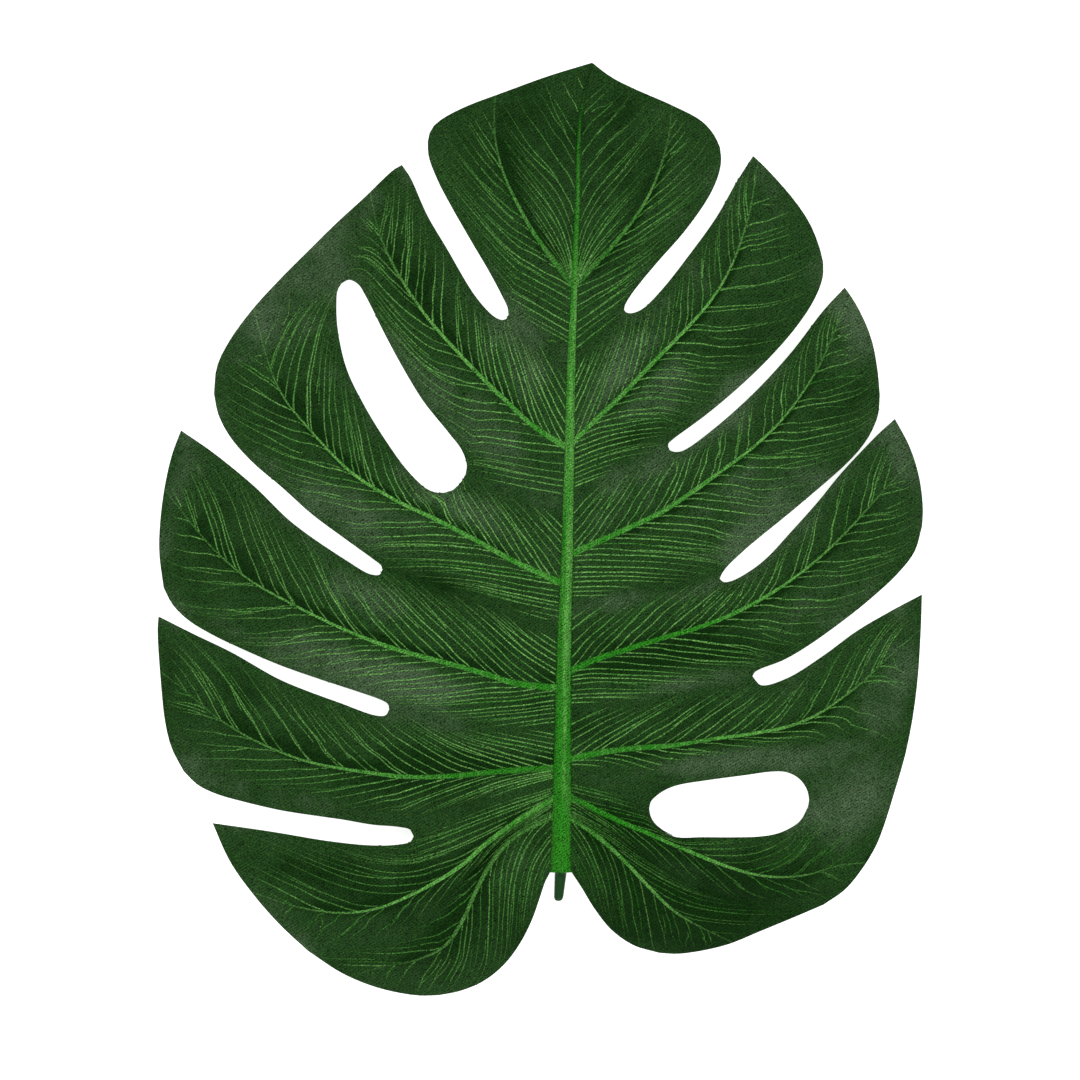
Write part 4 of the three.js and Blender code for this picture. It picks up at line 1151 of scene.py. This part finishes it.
class LeafColours(bpy.types.PropertyGroup):
    """The leaf's dyes, inks and plastic, with the painted shade and painted sheen colours"""

    dye_and_painted_light: colour_property("Dye", "The cloth's plain dyed green", "1E3E17")
    # The darkest green is painted shade, for the painted shade patches and the painted shadow lines.
    painted_shade_green: colour_property("Deep dye", "The print's darkest green, beside the veins", "0A2904")
    # Painted sheen: the greyish green painted where the satin would shine.
    sheen: colour_property("Sheen", "The greyish green where the satin shines", "40563A")
    light_ink: colour_property("Light ink", "The palest green of the printed veins", "72AE58")
    deep_ink: colour_property("Deep ink", "The fullest green of the printed veins", "287A18")
    back: colour_property("Back", "The dull back of the cloth", "33522A")
    plastic_dark: colour_property("Dark plastic", "The rib frame's darker flow marks", "0C2A0C")
    plastic_light: colour_property("Light plastic", "The rib frame's lighter flow marks", "1A4C1C")


class LeafSizes(bpy.types.PropertyGroup):
    """The leaf's fine sizes"""

    vein_spacing: length_property("Fine vein spacing", "Between neighbouring fine veins", 2.6)
    vein_width: length_property("Fine vein half-width", "Half the width of a fine vein at its start", 0.52)
    twill_spacing: length_property("Twill spacing", "Between the twill's slanting lines, as drawn", 1.0)
    thread_grain: length_property("Thread grain", "Size of the grain that single threads give", 0.5)
    ink_streak: length_property("Ink streak", "Width of the streaks along the midrib's ink", 1.6)
    # The blotches mottle the dye and the painted shade and sheen alike.
    dye_and_sheen_blotch: length_property("Dye blotch", "Size of the dye's soft unevenness", 12.0)


class StageSettings(bpy.types.PropertyGroup):
    """The camera and the light"""

    view_width: length_property("View width", "Width of the ground that the camera takes in", 405.6)
    camera_height: length_property("Camera height", "Height of the camera over the ground", 1500.0)
    sky: bpy.props.FloatProperty(
        name="Sky", description="Strength of the light from all round", default=0.42, min=0)
    lamp: bpy.props.FloatProperty(
        name="Lamps", description="Power of each soft box", default=7.6, min=0, unit="POWER")
    glow: bpy.props.FloatProperty(
        name="Glow", description="Light that comes up through the paper", default=0.8, min=0)
    ground: colour_property("Ground", "The paper under the leaf", "F4F4F4")


class LeafSettings(bpy.types.PropertyGroup):
    """All settings of the leaf"""

    colours: bpy.props.PointerProperty(type=LeafColours, name="Colours", description="Dyes, inks and plastic")
    sizes: bpy.props.PointerProperty(
        type=LeafSizes, name="Sizes", description="Fine sizes of cloth and print")
    stage: bpy.props.PointerProperty(type=StageSettings, name="Stage", description="Camera and light")


class LEAF_OT_blade(bpy.types.Operator):
    """Build the printed satin blade with its pressed relief"""

    bl_idname = "leaf.blade"
    bl_label = "Satin Blade"

    def execute(self, context):
        settings = context.scene.monstera_leaf
        material = printed_satin(settings.colours, settings.sizes)
        blade = make_piece("satin_blade", *closed_sheet(blade_grids(), CLOTH), material, crease=50)
        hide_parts("leaf_blade")
        return {"FINISHED"}


class LEAF_OT_fine_veins(bpy.types.Operator):
    """Build the fine veins printed on the blade"""

    bl_idname = "leaf.fine_veins"
    bl_label = "Fine Veins"

    def execute(self, context):
        sizes = context.scene.monstera_leaf.sizes
        blade = bpy.data.objects["satin_blade"]
        halves = [half for side in (LEFT, RIGHT) for pair in half_lobes(side) for half in pair]
        ribbons = [fine_vein_ribbons(half, sizes.vein_spacing / MM, sizes.vein_width / MM) for half in halves]
        veins = make_piece("printed_fine_veins", *joined(ribbons), blade.data.materials[0], crease=180)
        return {"FINISHED"}


class LEAF_OT_rib_frame(bpy.types.Operator):
    """Build the moulded spine with its tail and side ribs"""

    bl_idname = "leaf.rib_frame"
    bl_label = "Rib Frame"

    def execute(self, context):
        rings = [spine_rings()]
        for side in (LEFT, RIGHT):
            rings += [rib_rings(low, high) for low, high in half_lobes(side)]
        parts = []
        for tube in rings:
            points = tube.reshape(-1, 3)
            parts.append((points, outward(points, tube_faces(tube.shape[:3])), {}))
        material = moulded_polyethylene(context.scene.monstera_leaf.colours)
        ribs = make_piece("moulded_rib_frame", *joined(parts), material, crease=60)
        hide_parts("rib_frame")
        return {"FINISHED"}


class LEAF_OT_stage(bpy.types.Operator):
    """Set the ground, the soft light and the camera straight above the leaf"""

    bl_idname = "leaf.stage"
    bl_label = "Stage"

    def execute(self, context):
        stage, scene = context.scene.monstera_leaf.stage, context.scene
        corners = np.array([(-1, -1, 0), (1, -1, 0), (1, 1, 0), (-1, 1, 0)]) * PAPER["reach"]
        corners = corners - (0, 0, PAPER["drop"])
        mesh = bpy.data.meshes.new("ground_paper")
        mesh.from_pydata((corners * MM).tolist(), [], [(0, 1, 2, 3)])
        mesh.materials.append(matt_paper(stage.ground, stage.glow))
        ground = bpy.data.objects.new("ground_paper", mesh)
        scene.collection.objects.link(ground)
        ground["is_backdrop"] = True

        world = bpy.data.worlds.new("soft_room")
        world.use_nodes = True
        world.node_tree.nodes["Background"].inputs["Color"].default_value = (1, 1, 1, 1)
        world.node_tree.nodes["Background"].inputs["Strength"].default_value = stage.sky
        scene.world = world
        for x, y, z in SOFT_BOXES:
            light = bpy.data.lights.new("soft_box", "AREA")
            light.shape, light.size, light.energy = "SQUARE", SOFT_BOX_SIZE, stage.lamp
            lamp = bpy.data.objects.new("soft_box", light)
            lamp.location = (x, y, z)
            away = np.array([x, y, z]) / math.sqrt(x * x + y * y + z * z)
            lamp.rotation_euler = (math.acos(away[2]), 0, math.atan2(away[1], away[0]) + math.pi / 2)
            scene.collection.objects.link(lamp)

        lens = bpy.data.cameras.new("camera")
        lens.sensor_width = 36.0
        lens.lens = lens.sensor_width * stage.camera_height / stage.view_width
        camera = bpy.data.objects.new("camera", lens)
        camera.location = (VIEW_MIDDLE[0] * MM, VIEW_MIDDLE[1] * MM, stage.camera_height)
        scene.collection.objects.link(camera)
        scene.camera = camera
        scene.view_settings.view_transform = "Standard"
        return {"FINISHED"}


class LEAF_PT_panel(bpy.types.Panel):
    """The leaf's pieces and settings"""

    bl_idname = "LEAF_PT_panel"
    bl_label = "Monstera Leaf"
    bl_space_type = "VIEW_3D"
    bl_region_type = "UI"
    bl_category = "Monstera Leaf"

    def draw(self, context):
        for operator in OPERATORS:
            self.layout.operator(operator.bl_idname)
        settings = context.scene.monstera_leaf
        for group in (settings.colours, settings.sizes, settings.stage):
            box = self.layout.box()
            for name in group.__annotations__:
                box.prop(group, name)


OPERATORS = (LEAF_OT_blade, LEAF_OT_fine_veins, LEAF_OT_rib_frame, LEAF_OT_stage)
CLASSES = (LeafColours, LeafSizes, StageSettings, LeafSettings, *OPERATORS, LEAF_PT_panel)


def register():
    for cls in CLASSES:
        bpy.utils.register_class(cls)
    bpy.types.Scene.monstera_leaf = bpy.props.PointerProperty(type=LeafSettings)


def unregister():
    del bpy.types.Scene.monstera_leaf
    for cls in reversed(CLASSES):
        bpy.utils.unregister_class(cls)


def main():
    """Builds every piece and works out the box of the solids and that of the finished leaf."""
    register()
    bpy.ops.leaf.blade()
    bpy.ops.leaf.fine_veins()
    bpy.ops.leaf.rib_frame()
    bpy.ops.leaf.stage()
    boxes = {"cad": CAD_BOX, "visual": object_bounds()}
    boxes = {name: [[float(value) for value in corner] for corner in box] for name, box in boxes.items()}


if __name__ == "__main__":
    main()
